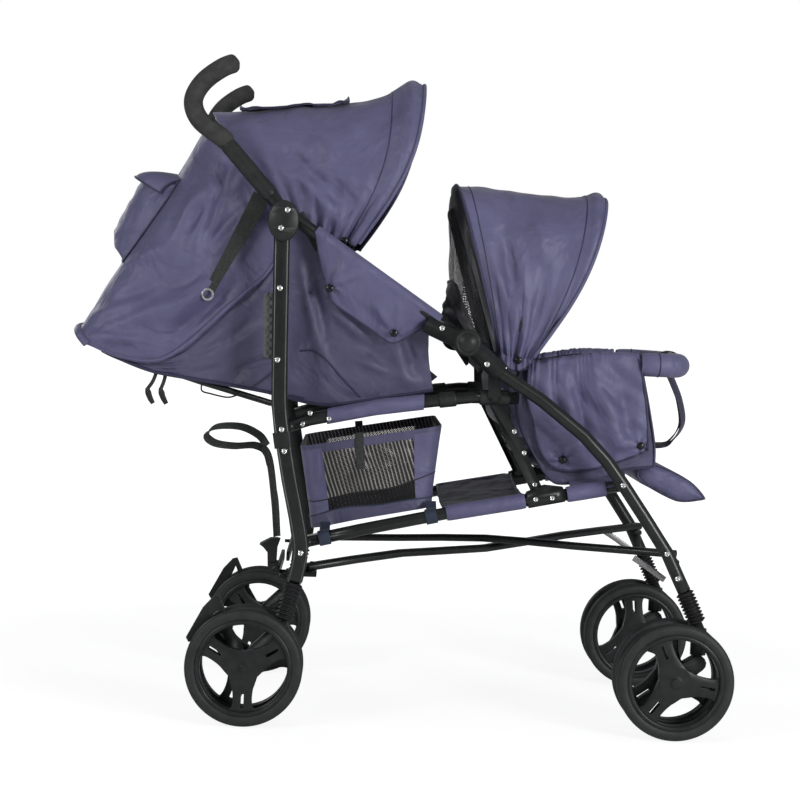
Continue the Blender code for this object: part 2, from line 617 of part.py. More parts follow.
    lower_y = LOWER_RAIL_FRONT_Y
    rail = tube(lifted(LOWER_RAIL_PATH, lambda t: s * (RAIL_REAR_Y + (lower_y - RAIL_REAR_Y) * t)), RAIL_RADIUS, 2)
    rear_pin = cylinder((0.090, s * RAIL_REAR_Y, 0.2775), (0.090, s * (inner - SEAT_GAP), 0.2775), 0.006)
    bracket = plate([(0.425, 0.340), (0.480, 0.352), (0.476, 0.374), (0.448, 0.376), (0.421, 0.364)],
                    s * (link_y + 0.0045), s * (link_y + 0.022))
    front_pin = cylinder((0.560, s * lower_y, 0.378), (0.560, s * ((tube_y + front_y) / 2 - TUBE_RADIUS - SEAT_GAP), 0.378), 0.006)
    finish(join(rail, rear_pin, bracket, front_pin), f"lower_rail_{label}", BLACK_TUBE, side)

    boot(f"rear_boot_{label}", REAR_BOOT_TOP, REAR_BOOT_BOTTOM, s * rear_y, STRUT_ROD_RADIUS, side)
    boot(f"front_boot_{label}", FRONT_BOOT_TOP, FRONT_BOOT_BOTTOM, s * front_y, STRUT_ROD_RADIUS, side)


def upper_tube_y():
    """The handle tubes run just inside the rear legs."""
    return TRACK_OVERALL / 2 - REAR_PAIR_WIDTH / 2 - LEG_WIDTH / 2 - SEAT_GAP - TUBE_RADIUS


def rear_leg_inner_y():
    return TRACK_OVERALL / 2 - REAR_PAIR_WIDTH / 2 - LEG_WIDTH / 2


def front_leg_y(share):
    """The front legs flare from the hub out to the wheel pairs."""
    front_y = TRACK_OVERALL / 2 - FRONT_PAIR_WIDTH / 2
    return upper_tube_y() + (front_y - upper_tube_y()) * share


def box_between(one, other):
    low = [min(a, b) for a, b in zip(one, other)]
    high = [max(a, b) for a, b in zip(one, other)]
    return box(low, high)


def ellipse(centre, half_x, half_z, count):
    return [(centre[0] + half_x * math.cos(math.tau * k / count), centre[1] + half_z * math.sin(math.tau * k / count))
            for k in range(count)]


def rod_into_boot(top, bottom, y):
    """The suspension rod, from its carrier up to the travel that is left below the leg."""
    top, bottom = Vector((top[0], y, top[1])), Vector((bottom[0], y, bottom[1]))
    up = (top - bottom).normalized()
    return cylinder(bottom - up * 0.012, top - up * (SUSPENSION_TRAVEL + 0.002), STRUT_ROD_RADIUS, 10)


def rear_corner(label, s, side):
    """Carrier, axle, brake pedal and wheel pair on one rear leg."""
    y = s * (TRACK_OVERALL / 2 - REAR_PAIR_WIDTH / 2)
    carrier_pivot = pivot(f"suspension_rear_{label}", (*REAR_BOOT_BOTTOM[:1], y, REAR_BOOT_BOTTOM[1]), side)
    half = CARRIER_THICKNESS / 2
    top = (REAR_BOOT_BOTTOM[0] - 0.004, REAR_BOOT_BOTTOM[1] - 0.015)
    arm = plate(capsule((0, WHEEL_RADIUS), 0.015, top, 0.012), y - half, y + half)
    lug = plate(capsule((0, WHEEL_RADIUS), 0.012, BRAKE_PIVOT, 0.008), y - half + 0.0008, y - 0.001)
    pin = cylinder((BRAKE_PIVOT[0], y - half + 0.0015, BRAKE_PIVOT[1]), (BRAKE_PIVOT[0], y + half, BRAKE_PIVOT[1]),
                   BRAKE_PIN_RADIUS)
    rod = rod_into_boot(REAR_BOOT_TOP, REAR_BOOT_BOTTOM, y)
    shaft = axle(0, y, WHEEL_RADIUS, REAR_PAIR_WIDTH / 2 - 0.0005)
    finish(join(arm, lug, pin, rod, shaft), f"rear_carrier_{label}", BLACK_PLASTIC, carrier_pivot)

    pedal_pivot = pivot(f"brake_{label}", (BRAKE_PIVOT[0], y, BRAKE_PIVOT[1]), carrier_pivot)
    outline = [(-0.019, 0.145), (-0.024, 0.155), (-0.042, 0.194), (-0.050, 0.192), (-0.066, 0.174), (-0.090, 0.128),
               (-0.086, 0.121), (-0.076, 0.122), (-0.050, 0.135), (-0.030, 0.136), (-0.022, 0.139)]
    window = [(-0.044, 0.180), (-0.037, 0.160), (-0.052, 0.160)]
    hole = circle(BRAKE_PIVOT, BRAKE_PIN_RADIUS + BORE_GAP, 10)
    pedal = plate(outline, y - 0.0005, y + half - 0.0005, [hole, window])
    finish(pedal, f"brake_pedal_{label}", BLACK_PLASTIC, pedal_pivot)
    spread = (REAR_PAIR_WIDTH - TYRE_WIDTH) / 2
    for place, offset, turn in (("outer", spread, math.radians(30)), ("inner", -spread, math.radians(10))):
        centre = (0, y + s * offset, WHEEL_RADIUS)
        name = f"rear_wheel_{place}_{label}"
        wheel(name, centre, turn, pivot(f"spin_{name}", centre, carrier_pivot))


def front_corner(label, s, side):
    """Knuckle, caster fork and wheel pair under one front leg."""
    y = s * (TRACK_OVERALL / 2 - FRONT_PAIR_WIDTH / 2)
    swivel_x = WHEELBASE + CASTER_TRAIL
    knuckle_pivot = pivot(f"suspension_front_{label}", (FRONT_BOOT_BOTTOM[0], y, FRONT_BOOT_BOTTOM[1]), side)
    barrel = cylinder((swivel_x, y, KNUCKLE_BOTTOM), (swivel_x, y, KNUCKLE_TOP), 0.0120, 16)
    rod = rod_into_boot(FRONT_BOOT_TOP, FRONT_BOOT_BOTTOM, y)
    barrel = join(barrel, rod)
    stem_radius = 0.005
    bore = cylinder((swivel_x, y, KNUCKLE_BOTTOM - 0.01), (swivel_x, y, KNUCKLE_BOTTOM + 0.024), stem_radius + BORE_GAP)
    finish(cut(barrel, bore), f"front_knuckle_{label}", BLACK_PLASTIC, knuckle_pivot)

    caster = pivot(f"caster_{label}", (swivel_x, y, KNUCKLE_BOTTOM), knuckle_pivot)
    fork_top = KNUCKLE_BOTTOM - SEAT_GAP
    fork = plate(capsule((WHEELBASE, WHEEL_RADIUS), 0.015, (swivel_x, fork_top - 0.012), 0.012), y - 0.0115, y + 0.0115)
    stem = cylinder((swivel_x, y, fork_top - 0.012), (swivel_x, y, KNUCKLE_BOTTOM + 0.020), stem_radius)
    shaft = axle(WHEELBASE, y, WHEEL_RADIUS, FRONT_PAIR_WIDTH / 2 - 0.0005)
    finish(join(fork, stem, shaft), f"caster_fork_{label}", BLACK_PLASTIC, caster)
    spread = (FRONT_PAIR_WIDTH - TYRE_WIDTH) / 2
    for place, offset, turn in (("outer", spread, math.radians(112)), ("inner", -spread, math.radians(95))):
        centre = (WHEELBASE, y + s * offset, WHEEL_RADIUS)
        name = f"front_wheel_{place}_{label}"
        wheel(name, centre, turn, pivot(f"spin_{name}", centre, caster))


def cross_bar(label, s, carrier):
    """One flat bar of the scissor under the basket, from its own rear pin to the other side's front lug."""
    y = CROSS_BAR_PIN_Y
    heights = CROSS_BAR_HEIGHTS[label]
    last = len(heights) - 1
    path = []
    for i, z in enumerate(heights):
        t = i / last
        path.append((CROSS_BAR_X_REAR + (CROSS_BAR_X_FRONT - CROSS_BAR_X_REAR) * t, s * y * (1 - 2 * t), z))
    swing = pivot(f"cross_bar_swing_{label}", path[0], carrier)
    heading = (Vector(path[-1]) - Vector(path[0])).normalized() * CROSS_BAR_WIDTH / 2
    heading.z = 0
    path[0] = tuple(Vector(path[0]) - heading)
    path[-1] = tuple(Vector(path[-1]) + heading * 0.5)
    half_w, half_h = CROSS_BAR_WIDTH / 2, CROSS_BAR_HEIGHT / 2
    section = [(half_w, half_h * 0.4), (half_w * 0.7, half_h), (-half_w * 0.7, half_h), (-half_w, half_h * 0.4),
               (-half_w, -half_h * 0.4), (-half_w * 0.7, -half_h), (half_w * 0.7, -half_h), (half_w, -half_h * 0.4)]
    bar = swept(smooth(path, 2), section)
    hole = cylinder((CROSS_BAR_X_REAR, s * y, 0.2), (CROSS_BAR_X_REAR, s * y, 0.3), FOLD_PIN_RADIUS + BORE_GAP)
    finish(cut(bar, hole), f"cross_bar_{label}", BLACK_TUBE, swing)


def stretcher(label, s, x):
    """One arm of the folding stretcher between the rear legs, flat across the stroller."""
    outline = capsule((s * STRETCHER_PIVOT_Y, STRETCHER_Z), STRETCHER_HEIGHT / 2, (-s * 0.010, STRETCHER_Z),
                      STRETCHER_HEIGHT / 2)
    hole = circle((s * STRETCHER_PIVOT_Y, STRETCHER_Z), FOLD_PIN_RADIUS + BORE_GAP, 12)
    obj = spline_object(outline, closed=True, flat=True)
    add_spline(obj.data, hole, True)
    obj.data.fill_mode = "BOTH"
    obj.data.extrude = STRETCHER_THICKNESS / 2
    obj.matrix_world = Matrix.Translation((x, 0, 0)) @ Matrix(((0, 0, 1, 0), (1, 0, 0, 0), (0, 1, 0, 0), (0, 0, 0, 1)))
    return as_mesh(obj)


def fold_parts(right, left):
    """The scissor bars, the rear stretcher and its lock pedal."""
    cross_bar("right", -1, right)
    cross_bar("left", 1, left)

    near_x = STRETCHER_X - STRETCHER_THICKNESS
    near = stretcher("right", -1, near_x)
    x, z = LOCK_PEDAL_PIN
    reach = LOCK_PEDAL_HALF_WIDTH + 0.0045
    for end in (-1, 1):
        near = join(near, box_between((x - 0.005, LOCK_PEDAL_Y + end * (reach - 0.004), z - 0.0055),
                                      (near_x - 0.001, LOCK_PEDAL_Y + end * reach, z + 0.0055)))
    near = join(near, cylinder((x, LOCK_PEDAL_Y - reach + 0.001, z), (x, LOCK_PEDAL_Y + reach - 0.001, z), FOLD_PIN_RADIUS))
    swing = pivot("stretcher_swing_right", (near_x, -STRETCHER_PIVOT_Y, STRETCHER_Z), right)
    finish(near, "stretcher_arm_right", BLACK_TUBE, swing)

    far_x = STRETCHER_X + STRETCHER_THICKNESS * 0.7
    far_swing = pivot("stretcher_swing_left", (far_x, STRETCHER_PIVOT_Y, STRETCHER_Z), left)
    finish(stretcher("left", 1, far_x), "stretcher_arm_left", BLACK_TUBE, far_swing)

    press = pivot("lock_pedal", (x, LOCK_PEDAL_Y, z), swing)
    hole = circle(LOCK_PEDAL_PIN, FOLD_PIN_RADIUS + BORE_GAP, 10)
    pedal = plate(LOCK_PEDAL_OUTLINE, LOCK_PEDAL_Y - LOCK_PEDAL_HALF_WIDTH, LOCK_PEDAL_Y + LOCK_PEDAL_HALF_WIDTH, [hole])
    finish(pedal, "fold_lock_pedal", BLACK_PLASTIC, press)


def side_panels(label, s, side):
    """The rear and front side panels, with the tabs that hold them to the tubes."""
    near, far = s * PANEL_Y, s * (PANEL_Y - PANEL_THICKNESS)
    seat_y = upper_tube_y() - TUBE_RADIUS - SEAT_GAP
    panel = plate(REAR_PANEL_OUTLINE, near, far)
    for x, z in REAR_PANEL_TABS:
        panel = join(panel, cylinder((x, s * (PANEL_Y - 0.004), z), (x, s * seat_y, z), TAB_RADIUS))
    finish(panel, f"rear_side_panel_{label}", FABRIC, side)

    panel = plate(FRONT_PANEL_OUTLINE, near, far)
    for i in FRONT_PANEL_TABS:
        x, z = FRONT_LEG_PATH[i]
        seat_y = front_leg_y(i / (len(FRONT_LEG_PATH) - 1)) - TUBE_RADIUS - SEAT_GAP
        panel = join(panel, cylinder((x, s * (PANEL_Y - 0.004), z), (x, s * seat_y, z), TAB_RADIUS))
    x, y, z = CATCH_POINT
    catch = box_between((x - 0.022, s * (y - 0.007), z - 0.012), (x, s * (y + 0.007), z + 0.009))
    bore = cylinder((x - 0.019, s * y, z), (x + 0.010, s * y, z), TONGUE_RADIUS + BORE_GAP, 8)
    finish(cut(join(panel, catch), bore), f"front_side_panel_{label}", FABRIC, side)


def rear_seat(right):
    """Rear pad, and the backrest with the U-shaped frame that holds it up."""
    finish(cushion((0.068, 0.523), (0.285, 0.533), PAD_HALF_WIDTH, 0.024, 0.008, 3), "rear_seat_pad", FABRIC, right)
    recline = pivot("rear_recline", (RECLINE_PIN[0], 0, RECLINE_PIN[1]), right)
    rest = cushion((0.040, 0.520), (-0.245, 0.5838), SEAT_HALF_WIDTH - 0.010, 0.022, 0.006, 4)
    finish(rest, "rear_backrest", FABRIC, recline)

    near, corner = RECLINE_ARM[:-1], RECLINE_ARM[-1]
    half = [(x, -RECLINE_ARM_Y, z) for x, z in near] + [(corner[0], -RECLINE_ARM_Y + 0.008, corner[1])]
    frame = tube(half + [(x, -y, z) for x, y, z in reversed(half)], RECLINE_RADIUS, 2)
    lean = Vector((0.218, 0, 0.976))
    leg_face = rear_leg_inner_y() - SEAT_GAP
    for s in (-1, 1):
        bracket = plate(capsule((0.030, 0.4825), 0.007, RECLINE_PIN, 0.008), s * (RECLINE_ARM_Y - 0.003), s * (RECLINE_ARM_Y + 0.004))
        pin = cylinder((RECLINE_PIN[0], s * (RECLINE_ARM_Y + 0.0005), RECLINE_PIN[1]), (RECLINE_PIN[0], s * leg_face, RECLINE_PIN[1]),
                       0.004)
        foot = Vector((corner[0], s * (SEAT_HALF_WIDTH - 0.050), corner[1]))
        frame = join(frame, bracket, pin, cylinder(foot, foot + lean * 0.026, 0.004))
    finish(clear_of(frame, rest), "recline_frame", BLACK_TUBE, recline)


def front_seat(right):
    """Front pad, backrest on its two pins, and the footrest under the pad's front edge."""
    pad = cushion((0.405, 0.412), (0.600, 0.432), PAD_HALF_WIDTH, 0.024, 0.008, 3)
    finish(pad, "front_seat_pad", FABRIC, right)
    x, z = FRONT_RECLINE_PIN
    rest = cushion((0.352, 0.690), (0.392, 0.442), SEAT_HALF_WIDTH - 0.006, 0.022, 0.006, 4)
    link_face = RAIL_FRONT_Y - LINK_THICKNESS / 2 - SEAT_GAP
    for s in (-1, 1):
        rest = join(rest, cylinder((x, s * (SEAT_HALF_WIDTH - 0.020), z), (x, s * link_face, z), 0.005))
    finish(rest, "front_backrest", FABRIC, pivot("front_recline", (x, 0, z), right))

    foot = pivot("footrest_hinge", (FOOTREST_PIVOT[0], 0, FOOTREST_PIVOT[1]), right)
    board = plate(FOOTREST_OUTLINE, -FOOTREST_HALF_WIDTH, FOOTREST_HALF_WIDTH)
    finish(clear_of(board, pad), "footrest", FABRIC, foot)


def canopy(rows, half_width, name, carrier, hinge, seat_y):
    """A canopy lofted over its ribs, and the wire bow in its front hem."""
    hoops = [hoop(foot, crown, half_width) for foot, crown in rows]
    shell = finish(loft(hoops, CLOTH_THICKNESS), name, FABRIC, carrier, crease=60)
    swing = pivot(f"{name}_hinge", (hinge[0], 0, hinge[1]), carrier)
    bow(swing, hinge, *rows[0], half_width, shell, f"{name}_bow", seat_y)


def canopies(right):
    """Both canopies on their bows, and the panel that closes the rear seat's back."""
    rail_face = upper_tube_y() - TUBE_RADIUS - SEAT_GAP
    canopy(REAR_CANOPY_ROWS, CANOPY_HALF_WIDTH, "rear_canopy", right, (0.128, 0.716), rail_face)
    canopy(FRONT_CANOPY_ROWS, FRONT_CANOPY_HALF_WIDTH, "front_canopy", right, (0.398, 0.533), rail_face + 0.0004)
    hoops = [hoop(foot, crown, CANOPY_HALF_WIDTH - 0.006) for foot, crown in BACK_PANEL_ROWS]
    back = loft(hoops, CLOTH_THICKNESS)
    x, z = BACK_PANEL_TAB
    for s in (-1, 1):
        back = join(back, cylinder((x, s * (CANOPY_HALF_WIDTH - 0.0145), z), (x, s * rail_face, z), 0.004))
    finish(back, "rear_back_panel", FABRIC, right, crease=60)


def bumper(right):
    """The padded bumper bar, whose tongues slide into the side panels' catches, and its crotch strap."""
    carrier = pivot("bumper_bar_catch", CATCH_POINT, right)
    half = [(x, -y, z) for x, y, z in BUMPER_HALF]
    bar = tube(half + [(x, -y, z) for x, y, z in reversed(half)], BUMPER_RADIUS, 3)
    x, y, z = CATCH_POINT
    for s in (-1, 1):
        bar = join(bar, cylinder((x - 0.016, s * y, z), (x + 0.006, s * y, z), TONGUE_RADIUS, 8))
    finish(bar, "bumper_bar", FABRIC, carrier)
    strap = swept(smooth(CROTCH_STRAP_PATH, 2), strap_section(CROTCH_STRAP_WIDTH))
    strap = clear_of(strap, bar, bpy.data.objects["front_seat_pad"])
    finish(strap, "crotch_strap", WEBBING, right)


def fold_strap(right):
    """The pull loop beside the right rear leg, fastened to the lock pedal."""
    strap = [(x, LOCK_PEDAL_Y, z) for x, z in FOLD_STRAP_PATH]
    strap = swept(smooth(strap, 2), strap_section(STRAP_WIDTH))
    finish(clear_of(strap, bpy.data.objects["fold_lock_pedal"]), "fold_strap", WEBBING, right)


def strap_section(width):
    return [(width / 2, STRAP_THICKNESS / 2), (-width / 2, STRAP_THICKNESS / 2),
            (-width / 2, -STRAP_THICKNESS / 2), (width / 2, -STRAP_THICKNESS / 2)]


def bow(carrier, hinge, foot, crown, half_width, shell, name, seat_y):
    """The wire bow inside a canopy's front hem, from its hinge boss up and over to the other side."""
    inset = CLOTH_THICKNESS + BOW_RADIUS + 0.0012
    back = 0.012
    lowered = (crown[0] - back - 0.004, crown[1] - inset - back / 2)
    path = hoop((foot[0] - back, foot[1]), lowered, half_width - inset, 16)
    path = [(hinge[0], path[0][1], hinge[1])] + path + [(hinge[0], path[-1][1], hinge[1])]
    wire = tube(path, BOW_RADIUS, 1)
    for s in (-1, 1):
        inner = half_width - inset - 0.005
        wire = join(wire, cylinder((hinge[0], s * inner, hinge[1]), (hinge[0], s * seat_y, hinge[1]), BOW_BOSS_RADIUS))
    clip = box((lowered[0] - 0.004, -0.008, lowered[1] - 0.002), (lowered[0] + 0.004, 0.008, lowered[1] + inset + 0.0005))
    finish(clear_of(join(wire, clip), shell), name, BLACK_TUBE, carrier)


def basket(carrier):
    """An open basket between the rails, with a floor that rises towards the front and clips on the lower rails."""
    block = plate(BASKET_OUTLINE, -SEAT_HALF_WIDTH, SEAT_HALF_WIDTH)
    shape = bmesh.new()
    shape.from_mesh(block.data)
    lid = [f for f in shape.faces if f.normal.z > 0.9 and f.calc_center_median().z > 0.40]
    bmesh.ops.delete(shape, geom=lid, context="FACES_ONLY")
    shape.to_mesh(block.data)
    shape.free()
    wall = block.modifiers.new("wall", "SOLIDIFY")
    wall.thickness = CLOTH_THICKNESS
    wall.offset = -1
    for s in (-1, 1):
        for x, z in BASKET_CLIPS:
            block = join(block, box_between((x - 0.008, s * (SEAT_HALF_WIDTH - 0.003), z - 0.005),
                                            (x + 0.008, s * RAIL_REAR_Y, z + 0.018)))
    rails = [bpy.data.objects[f"lower_rail_{label}"] for label in SIDES]
    finish(clear_of(block, *rails), "basket", MESH_FABRIC, carrier)


def stand_on_origin(root):
    """Moves the whole model so that its box is centred over the origin and stands on the floor."""
    bpy.context.view_layer.update()
    graph = bpy.context.evaluated_depsgraph_get()
    places = []
    for obj in parts.objects:
        if obj.type == "MESH":
            shape = obj.evaluated_get(graph)
            places += [shape.matrix_world @ v.co for v in shape.data.vertices]
    low_x, high_x = min(p.x for p in places), max(p.x for p in places)
    low_z = min(p.z for p in places)
    root.location = (-(low_x + high_x) / 2, 0.0, -low_z)


def main():
    root = pivot("stroller", (0, 0, 0))
    right = pivot("right_side", (0, 0, 0), root)
    left = pivot("left_side_fold", (0, 0, 0), root)
    for label, side in (("right", right), ("left", left)):
        s = SIDES[label]
        frame_side(label, s, side)
        rear_corner(label, s, side)
        front_corner(label, s, side)
        side_panels(label, s, side)
    fold_parts(right, left)
    rear_seat(right)
    front_seat(right)
    canopies(right)
    bumper(right)
    basket(right)
    fold_strap(right)
    stand_on_origin(root)


main()
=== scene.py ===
# %% [markdown]
# # Tandem umbrella stroller: the finished look
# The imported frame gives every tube, wheel and hinge its true place. This script dresses that frame: it
# lays cloth over the canopies, fills the cushions, turns the wheels and gives each surface its finish.
# Profile points are (x, z), as a drawing of the side view has them, with x measured from the rear axle.
# Tables of points are in millimetres and become metres in mm(). All other lengths are in metres.

# %% Load the frame
import json
import math

import bmesh
import bpy
import numpy as np
from mathutils import Matrix, Vector


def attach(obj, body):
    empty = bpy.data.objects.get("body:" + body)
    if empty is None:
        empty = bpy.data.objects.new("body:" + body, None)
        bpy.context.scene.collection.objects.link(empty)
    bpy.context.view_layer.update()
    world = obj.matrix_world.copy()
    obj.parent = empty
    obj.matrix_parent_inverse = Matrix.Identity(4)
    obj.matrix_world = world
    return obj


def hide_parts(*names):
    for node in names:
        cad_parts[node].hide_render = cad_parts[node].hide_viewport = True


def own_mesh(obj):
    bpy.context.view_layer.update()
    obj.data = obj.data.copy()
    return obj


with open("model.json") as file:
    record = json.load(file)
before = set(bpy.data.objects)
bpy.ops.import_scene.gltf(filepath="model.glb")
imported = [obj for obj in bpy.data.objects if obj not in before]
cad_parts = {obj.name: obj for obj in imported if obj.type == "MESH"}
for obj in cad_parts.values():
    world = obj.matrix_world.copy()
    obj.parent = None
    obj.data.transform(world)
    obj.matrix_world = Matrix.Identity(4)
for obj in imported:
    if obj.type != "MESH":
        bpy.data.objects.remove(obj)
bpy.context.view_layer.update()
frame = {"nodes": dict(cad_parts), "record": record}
REAR_AXLE = np.array([-0.228, 0.0, 0.0])
BODY_OF = {node: body for body, nodes in frame["record"]["behaviour"]["bodies"].items() for node in nodes}
SIDES = (("right", -1), ("left", 1))
X_AXIS, Y_AXIS, Z_AXIS = np.eye(3)

# %% [markdown]
# ## Curves and grids
# Cloth and moulded parts are easiest to describe as a function of two numbers, so every shape here is a
# grid of points worked out as whole arrays. A few helpers turn such grids into closed meshes.

# %% Curve and grid helpers
def mm(*points):
    """Millimetres as metres: every number divided by 1000."""
    return np.array(points, float) / 1000


def with_y(points, y):
    """Profile points (x, z) as points in space (x, y, z)."""
    return np.insert(np.asarray(points, float), 1, y, axis=1)


def even_steps(line, count):
    """Resamples a polyline at equal steps of its own length."""
    s = np.concatenate([[0.0], np.cumsum(np.linalg.norm(np.diff(line, axis=0), axis=1))])
    at = np.linspace(0, s[-1], count)
    return np.stack([np.interp(at, s, line[:, k]) for k in range(line.shape[1])], axis=1)


def curve_through(points, count):
    """Catmull-Rom curve: each span is a cubic whose end slopes are half the step between its neighbours."""
    p = np.asarray(points, float)
    knots = np.vstack([2 * p[0] - p[1], p, 2 * p[-1] - p[-2]])
    t = np.linspace(0, len(p) - 1, 40 * (len(p) - 1) + 1)
    i = np.minimum(t.astype(int), len(p) - 2)
    f = (t - i)[:, None]
    a, b, c, d = (knots[i + k] for k in range(4))
    cubic = 2 * b + (c - a) * f + (2 * a - 5 * b + 4 * c - d) * f ** 2 + (3 * b - a - 3 * c + d) * f ** 3
    return even_steps(0.5 * cubic, count)


def unit(vectors):
    """Each vector divided by its length."""
    return vectors / np.linalg.norm(vectors, axis=-1, keepdims=True)


def shares(rows, cols, start=0):
    """A column and a row of even shares from start to 1, one for each direction of a grid."""
    return np.linspace(start, 1, rows)[:, None], np.linspace(start, 1, cols)[None, :]


def grid_faces(rows, cols, round_rows=False, round_cols=False):
    """Quads between neighbouring points of a grid, closed on itself in either direction if asked."""
    i = np.arange(rows if round_rows else rows - 1)[:, None]
    j = np.arange(cols if round_cols else cols - 1)[None, :]
    i, j = np.broadcast_arrays(i, j)
    k, m = (i + 1) % rows, (j + 1) % cols
    quads = np.stack([i * cols + j, i * cols + m, k * cols + m, k * cols + j], axis=-1)
    return quads.reshape(-1, 4).tolist()


def two_skins(front, back):
    """The points and faces of a grid and of its copy behind it, without the rim between them."""
    rows, cols = front.shape[:2]
    faces = grid_faces(rows, cols)
    behind = [[v + rows * cols for v in f[::-1]] for f in faces]
    return np.vstack([front.reshape(-1, 3), back.reshape(-1, 3)]), faces + behind


def rim(start, end, behind):
    """Quads between the edge points start and end and the same points of the back skin."""
    return np.stack([start, end, end + behind, start + behind], axis=1).tolist()


def normals_of(grid):
    """Unit normals of a grid: the cross product of its two directions."""
    n = np.cross(np.gradient(grid, axis=0), np.gradient(grid, axis=1))
    return n / np.maximum(np.linalg.norm(n, axis=2, keepdims=True), 1e-12)


def outward_sign(grid, centre):
    """1 if the grid's normals point away from the centre, else -1."""
    return 1.0 if np.mean(np.sum(normals_of(grid) * (grid - centre), axis=2)) > 0 else -1.0


def facing_out(grid, centre):
    """The grid, with its columns in the other order if its normals point towards the centre."""
    return grid if outward_sign(grid, np.array(centre)) > 0 else grid[:, ::-1]


def sheet_shape(grid, thickness):
    """A closed thin wall: the grid, its copy moved along the normals, and a rim that joins them."""
    points, faces = two_skins(grid, grid - normals_of(grid) * thickness)
    index = np.arange(len(points) // 2).reshape(grid.shape[:2])
    loop = np.concatenate([index[0], index[1:, -1], index[-1, -2::-1], index[-2:0:-1, 0]])
    return points, faces + rim(np.roll(loop, -1), loop, index.size)


def swept_shape(path, section, scale=1.0, across=None):
    """A section (across, out) carried along a path. Across is the path's own plane normal, so it never
    twists."""
    path = np.asarray(path, float)
    if across is None:
        across = np.linalg.svd(path - path.mean(axis=0))[2][2]
    across = np.asarray(across, float)
    tangent = unit(np.gradient(path, axis=0))
    side = unit(across - tangent * (tangent @ across)[:, None])
    out = np.cross(tangent, side)
    scale = np.broadcast_to(np.asarray(scale, float), len(path))[:, None, None]
    offset = section[None, :, 0, None] * side[:, None] + section[None, :, 1, None] * out[:, None]
    n, m = len(path), len(section)
    faces = grid_faces(n, m, round_cols=True) + [list(range(m))[::-1], [(n - 1) * m + k for k in range(m)]]
    return (path[:, None] + offset * scale).reshape(-1, 3), faces


def ring(radius, count=12, squash=1.0):
    """A circle, or an ellipse when squashed, as a section."""
    a = np.arange(count) * math.tau / count
    return np.stack([radius * np.cos(a), radius * squash * np.sin(a)], axis=1)


def arc(centre, radius, angles, across, up):
    """Points at centre + radius * (cos * across + sin * up), a row of them for each centre."""
    a = np.asarray(angles)[:, None]
    return np.asarray(centre)[..., None, :] + radius * (np.cos(a) * across + np.sin(a) * up)


def rounded_bar(width, height, corner, steps=3):
    """A rectangle with round corners, as a section: four quarter circles joined."""
    a = np.linspace(0, math.pi / 2, steps + 1)
    first = np.stack([np.cos(a), np.sin(a)], axis=1) * corner
    other = first[:, ::-1]
    w, h = width / 2 - corner, height / 2 - corner
    corners = ((first, 1, 1), (other * (-1, 1), -1, 1), (-first, -1, -1), (other * (1, -1), 1, -1))
    return np.vstack([quarter + (x * w, y * h) for quarter, x, y in corners])


def turned_shape(profile, centre, axis, steps=64, closed=True):
    """A (radius, height) profile turned about an axis through the centre."""
    profile = np.asarray(profile, float)
    axis = unit(np.asarray(axis, float))
    e1 = unit(np.cross(Z_AXIS if abs(axis[2]) < 0.9 else X_AXIS, axis))
    a = np.arange(steps) * math.tau / steps
    ray = np.cos(a)[:, None] * e1 + np.sin(a)[:, None] * np.cross(axis, e1)
    radius, height = profile[None, :, 0, None], profile[None, :, 1, None]
    points = np.asarray(centre, float) + radius * ray[:, None] + height * axis
    return points.reshape(-1, 3), grid_faces(steps, len(profile), round_rows=True, round_cols=closed)


def joined(*shapes):
    """Several shapes as one list of points and faces."""
    points, faces, start = [], [], 0
    for p, f in shapes:
        points.append(p)
        faces += [[v + start for v in face] for face in f]
        start += len(p)
    return np.vstack(points), faces


# %% [markdown]
# ## Pieces
# Each finished piece is one mesh at the origin. It rides on a body of the frame and takes the place of the
# plain solids that stood for it.

# %% Piece helpers
WELD = 1e-5
LEAST_FILLED = 0.301


def placed(name, data):
    """A new object with this data, linked to the scene."""
    obj = bpy.data.objects.new(name, data)
    bpy.context.scene.collection.objects.link(obj)
    return obj


def tie(obj, body, replaces=()):
    """Ties an object to its body and hides the plain nodes that it takes the place of."""
    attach(obj, body)
    if replaces:
        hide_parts(*replaces)
    return obj


def folds_in(obj):
    """Gives the object its own copy of its mesh."""
    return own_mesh(obj)


def welded(data, look, crease, distance=WELD, outwards=True):
    """Merges points closer than the distance, turns faces outwards, and shades smooth up to the crease
    angle."""
    form = bmesh.new()
    form.from_mesh(data)
    bmesh.ops.remove_doubles(form, verts=form.verts, dist=distance)
    if outwards:
        bmesh.ops.recalc_face_normals(form, faces=form.faces)
    form.to_mesh(data)
    form.free()
    data.materials.clear()
    data.materials.append(look)
    data.shade_smooth()
    data.set_sharp_from_angle(angle=math.radians(crease))


def piece(name, shape, look, body="right_side", slot=None, replaces=(), fold=None, crease=40, weld=WELD):
    """Builds the mesh from points and faces, ties it to the frame, and gives it its own copy of the mesh
    when a fold is given."""
    data = bpy.data.meshes.new(name)
    data.from_pydata((np.asarray(shape[0]) + REAR_AXLE).tolist(), [], shape[1])
    welded(data, look, crease, weld)
    obj = tie(placed(name, data), body, replaces)
    if fold is not None:
        folds_in(obj)
    return obj


def cloth(obj, grid):
    """Works out the lengths and the area of a sheet's own grid, and returns the object unchanged."""
    along = np.linalg.norm(np.diff(grid, axis=0), axis=2).sum(axis=0).max()
    across = np.linalg.norm(np.diff(grid, axis=1), axis=2).sum(axis=1).max()
    area = np.linalg.norm(np.cross(np.diff(grid, axis=0)[:, :-1], np.diff(grid, axis=1)[:-1]), axis=2).sum()
    area = min(max(area, LEAST_FILLED * along * across), along * across)
    return obj


